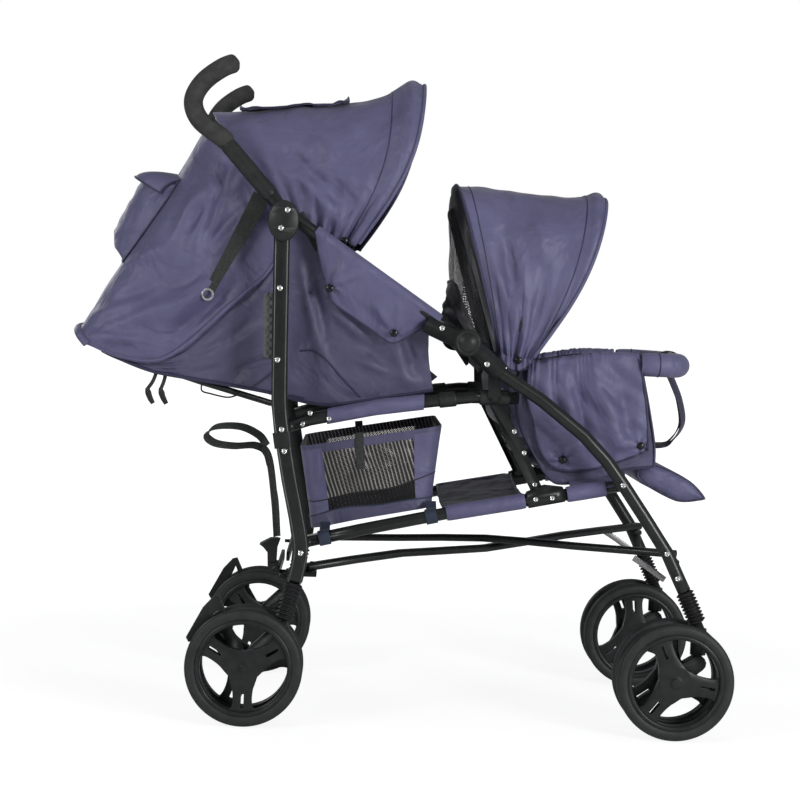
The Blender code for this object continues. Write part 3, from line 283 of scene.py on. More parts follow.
def sheet(name, grid, thickness, look, held="stretched", crease=70, **settings):
    """A grid as a thin wall of cloth."""
    return cloth(piece(name, sheet_shape(grid, thickness), look, crease=crease, **settings), grid)


def hem(name, path, radius, look, sides=10, **settings):
    """A round piping or seam: a circle carried along a path."""
    return piece(name, swept_shape(path, ring(radius, sides)), look, **settings)


def tape(name, path, size, look, across=Y_AXIS, steps=3, scale=1.0, **settings):
    """A flat bar (width, height and corner in millimetres) along a path, its width lying in one
    direction."""
    return piece(name, swept_shape(path, rounded_bar(*mm(*size), steps), scale, across), look, **settings)


def heads(name, profile, places, s, look, steps=18, **settings):
    """Small round heads on faces that look sideways: one turned profile at each place of this side."""
    shapes = [turned_shape(profile, (x, s * y, z), (0, s, 0), steps, closed=False) for x, y, z in places]
    return piece(name, joined(*shapes), look, weld=1e-6, **settings)


# %% [markdown]
# ## Finishes
# The photograph shows five families: a satin indigo polyester with fine creases, black open mesh and
# webbing, black paint on steel tube, moulded black plastic, and rubber. All of them are node patterns on
# Object coordinates, so they stay put when a body moves.

# %% Finish helpers
def new_look(name, roughness, metallic=0.0, sheen=0.0, specular=0.5):
    """A Principled material with these plain values."""
    look = bpy.data.materials.new(name)
    look.use_nodes = True
    shader = look.node_tree.nodes["Principled BSDF"]
    values = {"Roughness": roughness, "Metallic": metallic, "Coat Weight": 0.0, "Coat Roughness": 0.25,
              "Sheen Weight": sheen, "Sheen Roughness": 0.4, "Specular IOR Level": specular}
    for key, value in values.items():
        shader.inputs[key].default_value = value
    return look, look.node_tree, shader


def node(tree, kind, links=None, **values):
    """A shader node with its settings, and links from {input: output socket}."""
    made = tree.nodes.new("ShaderNode" + kind)
    for key, value in values.items():
        if key in made.inputs:
            made.inputs[key].default_value = value
        else:
            setattr(made, key, value)
    for key, socket in (links or {}).items():
        tree.links.new(socket, made.inputs[key])
    return made


def calc(tree, how, *inputs):
    """A Math node whose inputs are plain numbers or output sockets."""
    made = node(tree, "Math", operation=how)
    for number, value in enumerate(inputs):
        if isinstance(value, float):
            made.inputs[number].default_value = value
        else:
            tree.links.new(value, made.inputs[number])
    return made.outputs[0]


def noise(tree, scale, detail=3.0, rough=0.5, distortion=0.0, kind="FBM"):
    """Fractal noise, about 1 / scale metres from bump to bump."""
    place = node(tree, "TexCoord").outputs["Object"]
    return node(tree, "TexNoise", {"Vector": place}, noise_type=kind, Scale=scale, Detail=detail,
                Roughness=rough,
                Distortion=distortion).outputs["Fac"]


def wave(tree, scale, direction):
    """Straight bands across one direction."""
    place = node(tree, "TexCoord").outputs["Object"]
    return node(tree, "TexWave", {"Vector": place}, wave_type="BANDS", bands_direction=direction,
                Scale=scale,
                Distortion=0.3, Detail=1.0).outputs["Fac"]


def tint(tree, shader, factor, dark, light, low=0.3, high=0.7):
    """Base colour that runs from dark to light as the factor rises from low to high."""
    ramp = node(tree, "ValToRGB", {"Fac": factor})
    for stop, position, colour in zip(ramp.color_ramp.elements, (low, high), (dark, light)):
        stop.position = position
        stop.color = (*colour, 1)
    tree.links.new(ramp.outputs["Color"], shader.inputs["Base Color"])


def relief(tree, shader, *layers):
    """Stacks bump layers, each given as (height socket, strength, distance)."""
    below = {}
    for height, strength, distance in layers:
        bump = node(tree, "Bump", {"Height": height, **below}, Strength=strength, Distance=distance)
        below = {"Normal": bump.outputs["Normal"]}
    tree.links.new(below["Normal"], shader.inputs["Normal"])


def rough_by(tree, shader, factor, low, high):
    """Roughness that runs from low to high with the factor."""
    spread = node(tree, "MapRange", {"Value": factor}, **{"To Min": low, "To Max": high})
    tree.links.new(spread.outputs["Result"], shader.inputs["Roughness"])


# %% Cloth finishes
def polyester(name, dark, light, sheen=0.12, crease=0.55):
    """Satin cloth: ridged and soft noise for creases, fine noise, and a weave that is the product of
    two waves."""
    look, tree, shader = new_look(name, 0.44, sheen=sheen, specular=0.36)
    tint(tree, shader, noise(tree, 9.0, 4.0, 0.6), dark, light)
    sharp = noise(tree, 7.0, 2.0, 0.45, 0.8, "RIDGED_MULTIFRACTAL")
    weave = calc(tree, "MULTIPLY", wave(tree, 330, "X"), wave(tree, 330, "Z"))
    relief(tree, shader, (sharp, crease * 0.2, 0.01), (noise(tree, 11.0, 3.0, 0.5, 1.0), crease, 0.024),
           (noise(tree, 90.0, 2.0, 0.5, 0.6), 0.25, 0.002), (weave, 0.25, 0.0004))
    rough_by(tree, shader, noise(tree, 40.0), 0.37, 0.54)
    return look


def webbing(name):
    """Woven tape: the product of a slanting and a crossing wave."""
    look, tree, shader = new_look(name, 0.7, sheen=0.08, specular=0.3)
    tint(tree, shader, noise(tree, 300.0, 2.0), (0.018, 0.02, 0.019), (0.038, 0.041, 0.04))
    crossed = calc(tree, "MULTIPLY", wave(tree, 210, "DIAGONAL"), wave(tree, 420, "Y"))
    relief(tree, shader, (crossed, 0.5, 0.0006))
    return look


def open_mesh(name, dark, light, period, opening, streaks=False):
    """Knitted mesh: a hole wherever two crossing sine waves are both high. Slanting streaks are a slow
    sine: painted light, pale bands where the bright backdrop shows through the mesh."""
    look, tree, shader = new_look(name, 0.65, specular=0.2)
    place = node(tree, "SeparateXYZ", {"Vector": node(tree, "TexCoord").outputs["Object"]})
    x, y, z = (place.outputs[k] for k in "XYZ")
    along = calc(tree, "ADD", x, y)
    if streaks:
        # The streaks are painted light: pale bands for the backdrop seen through the layered mesh.
        lean = calc(tree, "ADD", x, calc(tree, "MULTIPLY", z, 0.34))
        waver = calc(tree, "MULTIPLY_ADD", noise(tree, 24.0, 2.0), 0.005, lean)
        band = calc(tree, "SINE", calc(tree, "MULTIPLY", waver, math.tau / 0.0062))
        tint(tree, shader, calc(tree, "MULTIPLY", band, noise(tree, 16.0, 3.0)), dark, light, 0.05, 0.55)
    else:
        tint(tree, shader, noise(tree, 30.0, 3.0), dark, light)
    crossings = [calc(tree, "SINE", calc(tree, "MULTIPLY", calc(tree, way, along, z), math.tau / period))
                 for way in ("ADD", "SUBTRACT")]
    lower = calc(tree, "MINIMUM", *crossings)
    tree.links.new(calc(tree, "LESS_THAN", lower, opening), shader.inputs["Alpha"])
    relief(tree, shader, (lower, 0.4, 0.0006))
    return look


INDIGO = polyester("indigo_polyester", (0.082, 0.078, 0.154), (0.122, 0.118, 0.222))
# A darker copy of the indigo cloth: painted shade for the side panels and other cloth that faces away from
# the light.
INDIGO_PAINTED_SHADE = polyester("indigo_shaded_side", (0.06, 0.058, 0.11), (0.09, 0.087, 0.16))
# A much darker copy of the same indigo cloth: painted deep shade for the cushions, foot tray, crotch strap
# and hems that lie in shadow.
INDIGO_PAINTED_DEEP_SHADE = polyester("indigo_shaded_cloth", (0.026, 0.024, 0.052), (0.04, 0.038, 0.078), crease=0.35)
PIPING = polyester("indigo_piping", (0.026, 0.024, 0.056), (0.04, 0.037, 0.084), crease=0.1)
LINING = polyester("black_lining", (0.011, 0.011, 0.013), (0.02, 0.02, 0.025), sheen=0.05, crease=0.3)
CLIP_BLUE = polyester("navy_clip_tape", (0.018, 0.026, 0.048), (0.03, 0.042, 0.075), crease=0.1)
WEBBING = webbing("black_webbing_finish")
# The basket mesh is black; its pale slanting streaks are painted light, the bright backdrop seen through the
# layered mesh.
BASKET_MESH = open_mesh("basket_mesh_finish", (0.04, 0.037, 0.036), (0.46, 0.44, 0.42), 0.004, -0.3, True)
BACK_MESH = open_mesh("back_mesh_finish", (0.012, 0.012, 0.013), (0.024, 0.024, 0.026), 0.004, -0.72)
FINE_NET = open_mesh("black_net_finish", (0.008, 0.008, 0.009), (0.016, 0.016, 0.018), 0.0026, 0.3)
print("cloth finishes:", len(bpy.data.materials))


# %% Hard finishes
def tube_paint(name):
    """Satin black paint with a faint orange peel."""
    look, tree, shader = new_look(name, 0.38, specular=0.36)
    tint(tree, shader, noise(tree, 60.0, 4.0, 0.6), (0.0085, 0.0095, 0.0092), (0.015, 0.0168, 0.016))
    rough_by(tree, shader, noise(tree, 140.0, 3.0), 0.24, 0.38)
    relief(tree, shader, (noise(tree, 900.0, 2.0), 0.06, 0.0003))
    return look


def moulded(name, dark, light, roughness, grain=0.12, specular=0.28):
    """Plastic, rubber or foam: a roughness that wanders a little and a fine grain."""
    look, tree, shader = new_look(name, roughness, specular=specular)
    tint(tree, shader, noise(tree, 70.0, 3.0), dark, light)
    rough_by(tree, shader, noise(tree, 200.0, 2.0), roughness - 0.07, roughness + 0.08)
    relief(tree, shader, (noise(tree, 1500.0, 2.0), grain, 0.0003))
    return look


def bright_metal(name, colour, roughness):
    """Bare metal, up to a quarter darker in spots."""
    look, tree, shader = new_look(name, roughness, metallic=1.0)
    tint(tree, shader, noise(tree, 500.0, 2.0), tuple(c * 0.75 for c in colour), colour)
    rough_by(tree, shader, noise(tree, 800.0), roughness - 0.08, roughness + 0.1)
    return look


PAINT = tube_paint("black_tube_paint")
# A lighter grey for the beads along the rear leg's edges: a painted highlight of the leg's rounded edges.
PAINT_EDGE_HIGHLIGHT = moulded("painted_highlight_bead", (0.05, 0.054, 0.053), (0.085, 0.09, 0.088), 0.3, 0.02)
PLASTIC = moulded("black_moulded_plastic", (0.013, 0.015, 0.0145), (0.022, 0.025, 0.024), 0.42)
RIM = moulded("wheel_plastic", (0.012, 0.0132, 0.013), (0.02, 0.0218, 0.0215), 0.36)
TYRE = moulded("foam_tyre", (0.015, 0.0165, 0.0162), (0.025, 0.027, 0.0265), 0.55, 0.3, 0.35)
RUBBER = moulded("bellows_rubber", (0.01, 0.01, 0.011), (0.02, 0.02, 0.021), 0.48, 0.1)
FOAM = moulded("grip_foam", (0.034, 0.035, 0.033), (0.056, 0.057, 0.054), 0.85, 0.6, 0.2)
SNAP_BLACK = moulded("glossy_snap", (0.006, 0.006, 0.007), (0.01, 0.01, 0.011), 0.24, 0.02)
GREY_STRIP = moulded("grey_slotted_strip", (0.06, 0.064, 0.064), (0.11, 0.115, 0.115), 0.38)
SILVER = bright_metal("zinc_rivet", (0.8, 0.8, 0.78), 0.26)
STEEL_DARK = bright_metal("link_steel", (0.34, 0.34, 0.34), 0.4)
STEEL_BLACK = bright_metal("blackened_wire", (0.05, 0.05, 0.05), 0.35)
LOOKS_OF_SLOT = {"indigo_fabric": (INDIGO, INDIGO_PAINTED_SHADE, INDIGO_PAINTED_DEEP_SHADE, PIPING, LINING, CLIP_BLUE),
                 "black_mesh_fabric": (BASKET_MESH, BACK_MESH, FINE_NET), "black_webbing": (WEBBING,),
                 "black_painted_tube": (PAINT, PAINT_EDGE_HIGHLIGHT, STEEL_BLACK), "tyre_and_rim": (TYRE, RIM),
                 "black_plastic": (PLASTIC, SNAP_BLACK, GREY_STRIP, SILVER, STEEL_DARK),
                 "black_rubber": (RUBBER,), "black_foam": (FOAM,)}
SLOT_OF_LOOK = {look.name: slot for slot, looks in LOOKS_OF_SLOT.items() for look in looks}
print("finishes:", len(SLOT_OF_LOOK))

# %% [markdown]
# ## Rigid parts
# Tubes, brackets, forks and pedals already have their true shape in the frame. A welded copy of each
# takes soft highlights on its round faces, which the loose triangles of a CAD mesh can't, and the forks
# and pedals also get small bevels on their edges.

# %% Copies of the rigid parts
def polished(name, look, bevel=0.0):
    """A welded, smooth-shaded copy of a CAD node, with its sharp edges slightly rounded."""
    data = frame["nodes"][name].data.copy()
    welded(data, look, 38, outwards=False)
    for face in data.polygons:
        face.material_index = 0
    obj = placed(name + "_finish", data)
    if bevel:
        edge = obj.modifiers.new("edges", "BEVEL")
        edge.width, edge.segments = bevel, 2
        edge.limit_method, edge.angle_limit = "ANGLE", math.radians(40)
    return tie(obj, BODY_OF[name], [name])


for label, s in SIDES:
    for stem in ("upper_tube", "front_leg", "upper_rail", "lower_rail", "rear_leg", "cross_bar",
                 "stretcher_arm"):
        polished(f"{stem}_{label}", PAINT)
    for stem in ("rear_carrier", "front_knuckle", "caster_fork", "brake_pedal", "hinge_cover", "hub"):
        polished(f"{stem}_{label}", PLASTIC, 0.0008 if stem in ("brake_pedal", "caster_fork") else 0.0)
polished("fold_lock_pedal", PLASTIC, 0.001)
for name in ("recline_frame", "rear_canopy_bow", "front_canopy_bow"):
    folds_in(polished(name, PAINT))

# %% [markdown]
# ## Wheels
# Each wheel is a foam tyre on a dished plastic ring with three broad, slotted spokes. The ring is a
# turned profile. A spoke is a patch of polar coordinates whose half angle shrinks from the hub outwards,
# split in two round its slot.

# %% Wheel
WHEEL_R = 0.089
SPOKE_HALF = 0.0082
TYRE_PROFILE = mm((73.5, 10), (76, 11.7), (81, 11.9), (84.8, 11.2), (87.2, 9.6), (88.5, 7.2), (88.8, 5.8),
                  (88.2, 5), (88.9, 4.2), (89, 1.6), (88.4, 0.8))
RIM_PROFILE = mm((73.8, 10), (72.6, 11.3), (70.6, 11.8), (68.4, 11.6), (66.8, 10.4), (66, 8), (65.8, 4))
HUB_PROFILE = [(0.0, 1.06), (0.006, 1.06), (0.0085, 1.04), (0.0092, 1.0), (0.015, 1.0), (0.025, 1.0)]
SPOKE_RADII = mm(25, 27, 30, 34, 39, 44, 50, 56, 60, 64, 67.2)
SPOKE_ANGLES = np.array([math.pi / 3, 0.84, 0.66, 0.5, 0.395, 0.335, 0.287, 0.262, 0.255, 0.262, 0.3])
SLOT_FROM, SLOT_TO = 4, 8


def spoke_patch(rows, low, high, middle):
    """Points at (radius, angle) = (r, middle + s * half_angle(r)) for s from low to high, domed at the
    hub."""
    r = SPOKE_RADII[rows][:, None]
    s = np.linspace(low, high, 7)[None]
    angle = middle + s * SPOKE_ANGLES[rows][:, None]
    rise = SPOKE_HALF * (1 - 0.22 * ((r - 0.025) / 0.042) ** 2) * (1 - 0.2 * np.abs(s) ** 4)
    return np.stack([r * np.cos(angle), rise, r * np.sin(angle)], axis=-1)


def spider_shape(turn):
    """Three spokes and the hub disc, as a front and a back skin joined along the spokes' rims."""
    inner, slot, outer = np.arange(SLOT_FROM + 1), np.arange(SLOT_FROM, SLOT_TO + 1), np.arange(SLOT_TO, 11)
    bands = [(inner, -1, 1, -1), (slot, -1, -0.16, None), (slot, 0.16, 1, None), (outer, -1, 1, 0)]
    shapes = []
    for k in range(3):
        for rows, low, high, end in bands:
            front = spoke_patch(rows, low, high, turn + k * math.tau / 3)
            points, faces = two_skins(front, front * (1, -1, 1))
            index = np.arange(len(points) // 2).reshape(front.shape[:2])
            for edge in [index[:, 0], index[:, -1]] + ([] if end is None else [index[end]]):
                faces += rim(edge[:-1], edge[1:], index.size)
            shapes.append((points, faces))
    a = np.linspace(0, math.tau, 49)[:-1]
    disc = np.stack([np.stack([r * np.cos(a), np.full_like(a, SPOKE_HALF * h), r * np.sin(a)], axis=1)
                     for r, h in HUB_PROFILE])
    for skin in (disc, disc * (1, -1, 1)):
        shapes.append((skin.reshape(-1, 3), grid_faces(len(HUB_PROFILE), 48, round_cols=True)))
    return joined(*shapes)


def wheel(name, centre, turn):
    """A tyre and a ring turned from half profiles and their mirror images, and the three spokes."""
    tyre, ring_shape = (turned_shape(np.vstack([half, half[::-1] * (1, -1)]), centre, Y_AXIS, 96)
                        for half in (TYRE_PROFILE, RIM_PROFILE))
    points, faces = spider_shape(turn)
    piece(name + "_tyre", tyre, TYRE, name, replaces=[name])
    piece(name + "_rim", ring_shape, RIM, name, crease=50)
    piece(name + "_spokes", (points + np.array(centre), faces), RIM, name, crease=32)


WHEELS = (("rear_wheel_outer", 0.0, 0.238, 30), ("rear_wheel_inner", 0.0, 0.194, 10),
          ("front_wheel_outer", 0.653, 0.238, 112), ("front_wheel_inner", 0.653, 0.184, 95))
for label, s in SIDES:
    for place, x, y, degrees in WHEELS:
        wheel(f"{place}_{label}", (x, s * y, WHEEL_R), math.radians(degrees))

# %% [markdown]
# ## Grips, bellows and fittings
# The grips are foam sleeves that follow the bent handle. The bellows are a circle whose radius rises and
# falls along its axis. Rivets, studs and sleeves are small, but they catch the light and tell the size of
# everything else.

# %% Grips and bellows
GRIP_PATH = mm((-40, 999), (-66, 988), (-94, 965), (-107, 937), (-96, 909), (-62, 884), (-54, 875.3))
TUBE_Y = 0.1977
TUBE_TOP, HINGE_POINT, HUB_POINT = mm((-62, 884), (34, 779), (320, 590))
RIBS = 9


def grip(label, s):
    """A foam sleeve whose upper end closes like a quarter circle."""
    t = np.linspace(0, 1, 60)
    end = np.sqrt(np.clip(1 - np.clip(1 - t / 0.06, 0, 1) ** 2, 0.02, 1)) * np.clip(0.86 + (1 - t) * 6, 0, 1)
    path = with_y(curve_through(GRIP_PATH, 60), s * TUBE_Y)
    piece(f"grip_foam_{label}", swept_shape(path, ring(0.0145, 24), end), FOAM, f"{label}_side",
          replaces=[f"handle_grip_{label}"])


def bellows(name, ends, y, body):
    """Radius = 12.2 mm + 1.8 mm * cos(angle), one full turn of the angle for each rib along the axis."""
    top, bottom = with_y(ends, y)
    length = np.linalg.norm(top - bottom)
    t = np.linspace(0, 1, RIBS * 12 + 1)
    radius = 0.0122 + 0.0018 * np.cos((t * RIBS - 0.5) * math.tau)
    profile = np.vstack([[0.0076, 0], np.stack([radius, t * length], axis=1), [0.0076, length]])
    obj = piece(name + "_rubber", turned_shape(profile, bottom, top - bottom, 40), RUBBER, body,
                replaces=[name],
                crease=60)
    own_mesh(obj)


for label, s in SIDES:
    grip(label, s)
    for end, ends, y in (("rear", mm((70.8, 216.7), (58, 161)), 0.216),
                         ("front", mm((665.2, 222.5), (687, 177)), 0.211)):
        bellows(f"{end}_boot_{label}", ends, s * y, f"{label}_side")
print("ribs on each bellows:", RIBS)

# %% Rivets, studs and sleeves
RIVET = mm((0, 0.6), (1.2, 0.8), (1.8, 1.9), (2.8, 2.3), (4, 1.6), (4.4, 0), (4.4, -1.5), (0, -1.5))
LEG_RIVETS = mm((34, 223.5, 661.3), (34.1, 223.5, 553.7), (44, 223.5, 449), (49.3, 223.5, 416.4),
                (79.3, 223.5, 263.3), (41.7, 234.3, 778.1), (32.8, 234.3, 750.8))
FRONT_RIVETS = mm((563.9, 217.8, 383.3), (634.8, 220.5, 281.6), (652.6, 221.2, 244.5), (280, 213.2, 610.5),
                  (350.1, 213.5, 558.6))
RAIL_RIVETS = mm((399.1, 170.2, 455.7), (415.7, 170.2, 423.5), (434, 170.2, 374.7), (434.8, 188.2, 354),
                 (460, 188.2, 357), (85.2, 192.5, 473.5), (74, 192.5, 456.3), (114.1, 191.5, 466))
UPPER_RAIL = mm((52, 452), (85, 463), (185, 485), (258, 496), (330, 506), (404, 507))
LOWER_RAIL = mm((88, 277), (168, 297), (299, 327), (427, 352), (508, 367), (566, 379))
HUB_RING = mm((15, 0), (15.8, 0.6), (17.2, 0.6), (18, 0), (18, -1), (15, -1))
HUB_BOSS = mm((0, 1.1), (5, 1), (6.8, 0.4), (7.2, -0.5), (0, -0.5))


def sleeve_on(name, path, radius, look, body):
    """A moulded or sewn sleeve over a tube, with slightly rounded ends."""
    t = np.linspace(0, 1, len(path))
    soft = 1 - 0.06 * np.clip(1 - np.minimum(t, 1 - t) / 0.06, 0, 1) ** 2
    return piece(name, swept_shape(path, ring(radius, 24), soft), look, body)


def on_rail(rail, y_rear, y_front, x_from, x_to, s, count=30):
    """Centre-line points of a rail between two x, with its y drawn in towards the front as in the frame."""
    x = np.linspace(x_from, x_to, count)
    order = np.interp(x, rail[:, 0], np.linspace(0, 1, len(rail)))
    return np.stack([x, s * (y_rear + (y_front - y_rear) * order), np.interp(x, *rail.T)], axis=1)


def on_upper(x_from, x_to, s, count=30):
    """Points along the upper rail."""
    return on_rail(UPPER_RAIL, 0.184, 0.166, x_from, x_to, s, count)


def on_lower(x_from, x_to, s, count=40):
    """Points along the lower rail."""
    return on_rail(LOWER_RAIL, 0.184, 0.176, x_from, x_to, s, count)


for label, s in SIDES:
    heads(f"leg_rivets_{label}", RIVET, LEG_RIVETS, s, SILVER, body=f"{label}_side")
    heads(f"front_leg_rivets_{label}", RIVET, FRONT_RIVETS, s, SILVER, body=f"{label}_side")
    heads(f"rail_rivets_{label}", RIVET * 0.9, RAIL_RIVETS, s, SILVER, body=f"{label}_side")
for label, s in SIDES:
    side = f"{label}_side"
    t = np.linspace(0.08, 0.8, 30)[:, None]
    tube = with_y(TUBE_TOP * (1 - t) + HINGE_POINT * t, s * TUBE_Y)
    sleeve_on(f"handle_sleeve_{label}", tube, 0.0128, PLASTIC, side)
    for number, (a, b) in enumerate(((0.2815, 0.307), (0.344, 0.389))):
        sleeve_on(f"rail_sleeve_{number}_{label}", on_upper(a, b, s), 0.0118, PLASTIC, side)
    hub = (HUB_POINT[0], s * 0.2182, HUB_POINT[1])
    boss = turned_shape(HUB_BOSS, hub, (0, s, 0), 36, closed=False)
    cap = joined(turned_shape(HUB_RING, hub, (0, s, 0), 48), boss)
    piece(f"hub_cap_detail_{label}", cap, PLASTIC, side, weld=1e-6)
print("rivets on each side:", len(LEG_RIVETS) + len(FRONT_RIVETS) + len(RAIL_RIVETS))

# %% [markdown]
# ## Canopies
# A canopy is one sheet over its ribs. Every rib is a superellipse, flat on top and square at the
# shoulders, and the ribs' feet and crowns run along two smooth curves, so the sheet is a function of rib
# number and angle. Between the ribs the cloth sinks a little, and soft creases run from the crown to the
# feet.

# %% Canopy surface
COVER, LINED = 0.0018, 0.0026
SQUARENESS = 4.0
RIDGE_GAIN = 2.2
SNAP = mm((0, 3.6), (3, 3.4), (5.2, 2.2), (6, 0), (6, -1), (0, -1))


def rib_curve(count, half_width=0.17, height=0.25):
    """Side and rise of a superellipse |side|^n + rise^n = 1, at equal steps of its length."""
    a = np.linspace(0, math.pi, 801)
    side = np.sign(np.cos(a)) * np.abs(np.cos(a)) ** (2 / SQUARENESS)
    rise = np.sin(a) ** (2 / SQUARENESS)
    even = even_steps(np.stack([side * half_width, rise * height], axis=1), count)
    return even[:, 0] / half_width, even[:, 1] / height


def rib_surface(ribs, half_width, rows, cols):
    """Point(u, v) = foot(u) + rise(v) * (crown(u) - foot(u)), with y = -half_width * side(v)."""
    feet, crowns = curve_through(ribs[:, :2], rows), curve_through(ribs[:, 2:], rows)
    side, rise = rib_curve(cols)
    x, z = (feet[:, None, k] + rise * (crowns - feet)[:, None, k] for k in (0, 1))
    return np.stack([x, np.broadcast_to(-half_width * side, x.shape), z], axis=-1)


def soft_noise(u, v, seed, frequency=3.0, waves=9):
    """A sum of a few sine waves with seeded directions, between about -1 and 1."""
    source = np.random.default_rng(seed)
    total = np.zeros(np.broadcast(u, v).shape)
    for _ in range(waves):
        a, b = source.normal(0, frequency, 2)
        total = total + np.sin(math.tau * (a * u + b * v) + source.uniform(0, math.tau))
    return total / math.sqrt(waves)


def bowed(grid, ribs, amount, fade):
    """Pushes the ribs forwards in x by amount * sin(pi * rise) * exp(-(u / fade)^2): the front edge
    curves."""
    feet, crowns = curve_through(ribs[:, :2], len(grid)), curve_through(ribs[:, 2:], len(grid))
    low, high = feet[:, None, 1], crowns[:, None, 1]
    rise = np.clip((grid[..., 2] - low) / (high - low), 0, 1)
    weight = np.exp(-(np.linspace(0, 1, len(grid)) / fade) ** 2)[:, None]
    return grid + (amount * np.sin(math.pi * rise) * weight)[..., None] * X_AXIS


def fan(grid, depth, count, seed, reach):
    """Folds that leave each foot as a fan and die away upwards: a wave along the ribs times exp(-rise
    / reach)."""
    source = np.random.default_rng(seed)
    u = np.linspace(0, 1, grid.shape[0])[:, None]
    rise = np.clip((1 - np.abs(np.linspace(-1, 1, grid.shape[1]))) / 0.5, 0, 1)[None]
    waves = ((1.0, 0.25, source.uniform(0, 6)), (1.63, -0.35, source.uniform(0, 6)))
    folds = sum(np.sin(math.tau * (u * count * k + rise * drift) + turn) for k, drift, turn in waves)
    lift = depth * folds * np.exp(-rise / reach) * np.clip(rise / 0.02, 0.3, 1)
    return grid + normals_of(grid) * lift[..., None]


def ridges(grid, lines):
    """Soft folds drawn in the side view: each (x0, z0, x1, z1, width, height) lifts a Gaussian ridge
    beside it."""
    x, z = grid[..., 0], grid[..., 2]
    lift = np.zeros_like(x)
    for x0, z0, x1, z1, width, height in lines:
        dx, dz = x1 - x0, z1 - z0
        t = np.clip(((x - x0) * dx + (z - z0) * dz) / (dx * dx + dz * dz), 0, 1)
        away = np.hypot(x - x0 - t * dx, z - z0 - t * dz)
        swell = 0.35 + 0.65 * np.sin(math.pi * np.clip(t, 0.02, 0.98))
        lift += RIDGE_GAIN * height * np.exp(-(away / width) ** 2) * swell
    return grid + normals_of(grid) * lift[..., None]


def creased(grid, centre, depth, seed, ribs=(), sink=0.0, frequency=3.0):
    """Moves a sheet inwards by soft creases, and by a sag that is zero at each rib."""
    u, v = shares(*grid.shape[:2])
    inward = -outward_sign(grid, centre) * normals_of(grid)
    move = depth * (0.5 + 0.5 * soft_noise(u * 0.8, v, seed, frequency))
    if len(ribs):
        edges = np.asarray(ribs, float)
        span = np.clip(np.searchsorted(edges, u[:, 0], side="right") - 1, 0, len(edges) - 2)
        share = np.clip((u[:, 0] - edges[span]) / (edges[span + 1] - edges[span]), 0, 1)
        move = move + sink * np.sin(math.pi * share)[:, None] ** 0.8 * np.sin(math.pi * v) ** 0.5
    edge = np.minimum(1, np.minimum(u, 1 - u) / 0.03)
    return grid + inward * (move * (0.25 + 0.75 * edge))[..., None]


def hood(ribs, half_width, rows, centre, bow, crease, folds, lines, roll):
    """A canopy: ribs, bowed front, creases, folds from its feet, drawn folds, and a padded roll round
    its front."""
    grid = facing_out(bowed(rib_surface(ribs, half_width, rows, 170), ribs, *bow), centre)
    grid = ridges(fan(creased(grid, centre, *crease), *folds), lines)
    height, middle, width = roll
    share = np.linspace(0, 1, rows)[:, None, None]
    return grid + normals_of(grid) * height * np.exp(-((share - middle) / width) ** 2)


def lined(name, grid, fold, replaces):
    """A cover and the thin black lining behind it."""
    sheet(f"{name}_cover", grid, COVER, INDIGO, fold=fold, replaces=replaces)
    sheet(f"{name}_lining", (grid - normals_of(grid) * LINED)[1:-1, 1:-1], 0.0006, LINING, fold=fold)


def hems(*rows, **settings):
    """Several pipings, each given as (name, path, radius, look, sides)."""
    for name, path, radius, look, sides in rows:
        hem(name, path, radius, look, sides, **settings)


def edged(name, lines, radius, look=PIPING, sides=10, end="", **settings):
    """One piping for each line, numbered in its name."""
    for number, line in enumerate(lines):
        hem(f"{name}_{number}{end}", line, radius, look, sides, **settings)


def canopy_corner(name, grid, first, last, s, drop, fold):
    """The rounded lower corner of a canopy: its lowest points carried on down by a half ellipse."""
    top = grid[first:last, 0 if grid[first, 0, 1] * s > 0 else -1]
    t = np.linspace(-1, 1, len(top))
    depth = drop * np.sqrt(np.clip(1 - t ** 2, 0.0, 1))
    w = np.linspace(-0.5, 1, 14)[:, None, None]
    corner = top[None] + w * np.stack([0 * t, s * 0.0004 * np.ones_like(t), -depth], axis=1)[None]
    corner[..., 1] += s * 0.0016
    corner = facing_out(corner, (top[:, 0].mean(), 0, top[:, 2].mean()))
    sheet(name, corner, COVER, INDIGO, "hung", fold=fold)
    hem(name + "_hem", corner[-1], 0.0014, PIPING, 8, fold=fold)


# %% [markdown]
# ## Rear canopy
# The rear hood is the larger one. Its piping, seam and hems are rows and columns of the same grid, so
# they lie on the cloth wherever its folds carry it. The feet end in rounded corners that snap onto the
# handle tubes.

# %% Rear canopy
REAR_RIBS = mm((150, 733, 243, 990), (144, 733.5, 226, 996), (138, 734, 207, 988), (118, 737, 165, 972),
               (88, 738, 95, 958), (60, 748, 4, 948), (34, 764, -88, 935))
REAR_HALF = 0.172
REAR_LINES = mm((60, 835, 120, 765, 12, 4.5), (40, 870, 110, 800, 10, -4), (100, 860, 165, 790, 14, 3.5),
                (80, 900, 110, 850, 10, 2.5))
canopy_centre = np.array([0.08, 0.0, 0.8])
rear_hood = hood(REAR_RIBS, REAR_HALF, 110, canopy_centre, (0.027, 0.42),
                 (0.0022, 3, (0.16, 0.58, 1.0), 0.003),
                 (0.0034, 5, 4, 0.34), REAR_LINES, (0.0042, 0.065, 0.05))
out = normals_of(rear_hood)
lined("rear_canopy", rear_hood, REAR_HALF, ["rear_canopy"])
hems(("rear_canopy_front_piping", rear_hood[0] + out[0] * 0.0006, 0.003, INDIGO, 10),
     ("rear_canopy_visor_seam", rear_hood[18] - out[18] * 0.0006, 0.0013, PIPING, 10),
     fold=REAR_HALF)
edged("rear_canopy_side_hem", (rear_hood[6:, 0], rear_hood[6:, -1]), 0.0014, INDIGO_PAINTED_DEEP_SHADE, 8, fold=REAR_HALF)
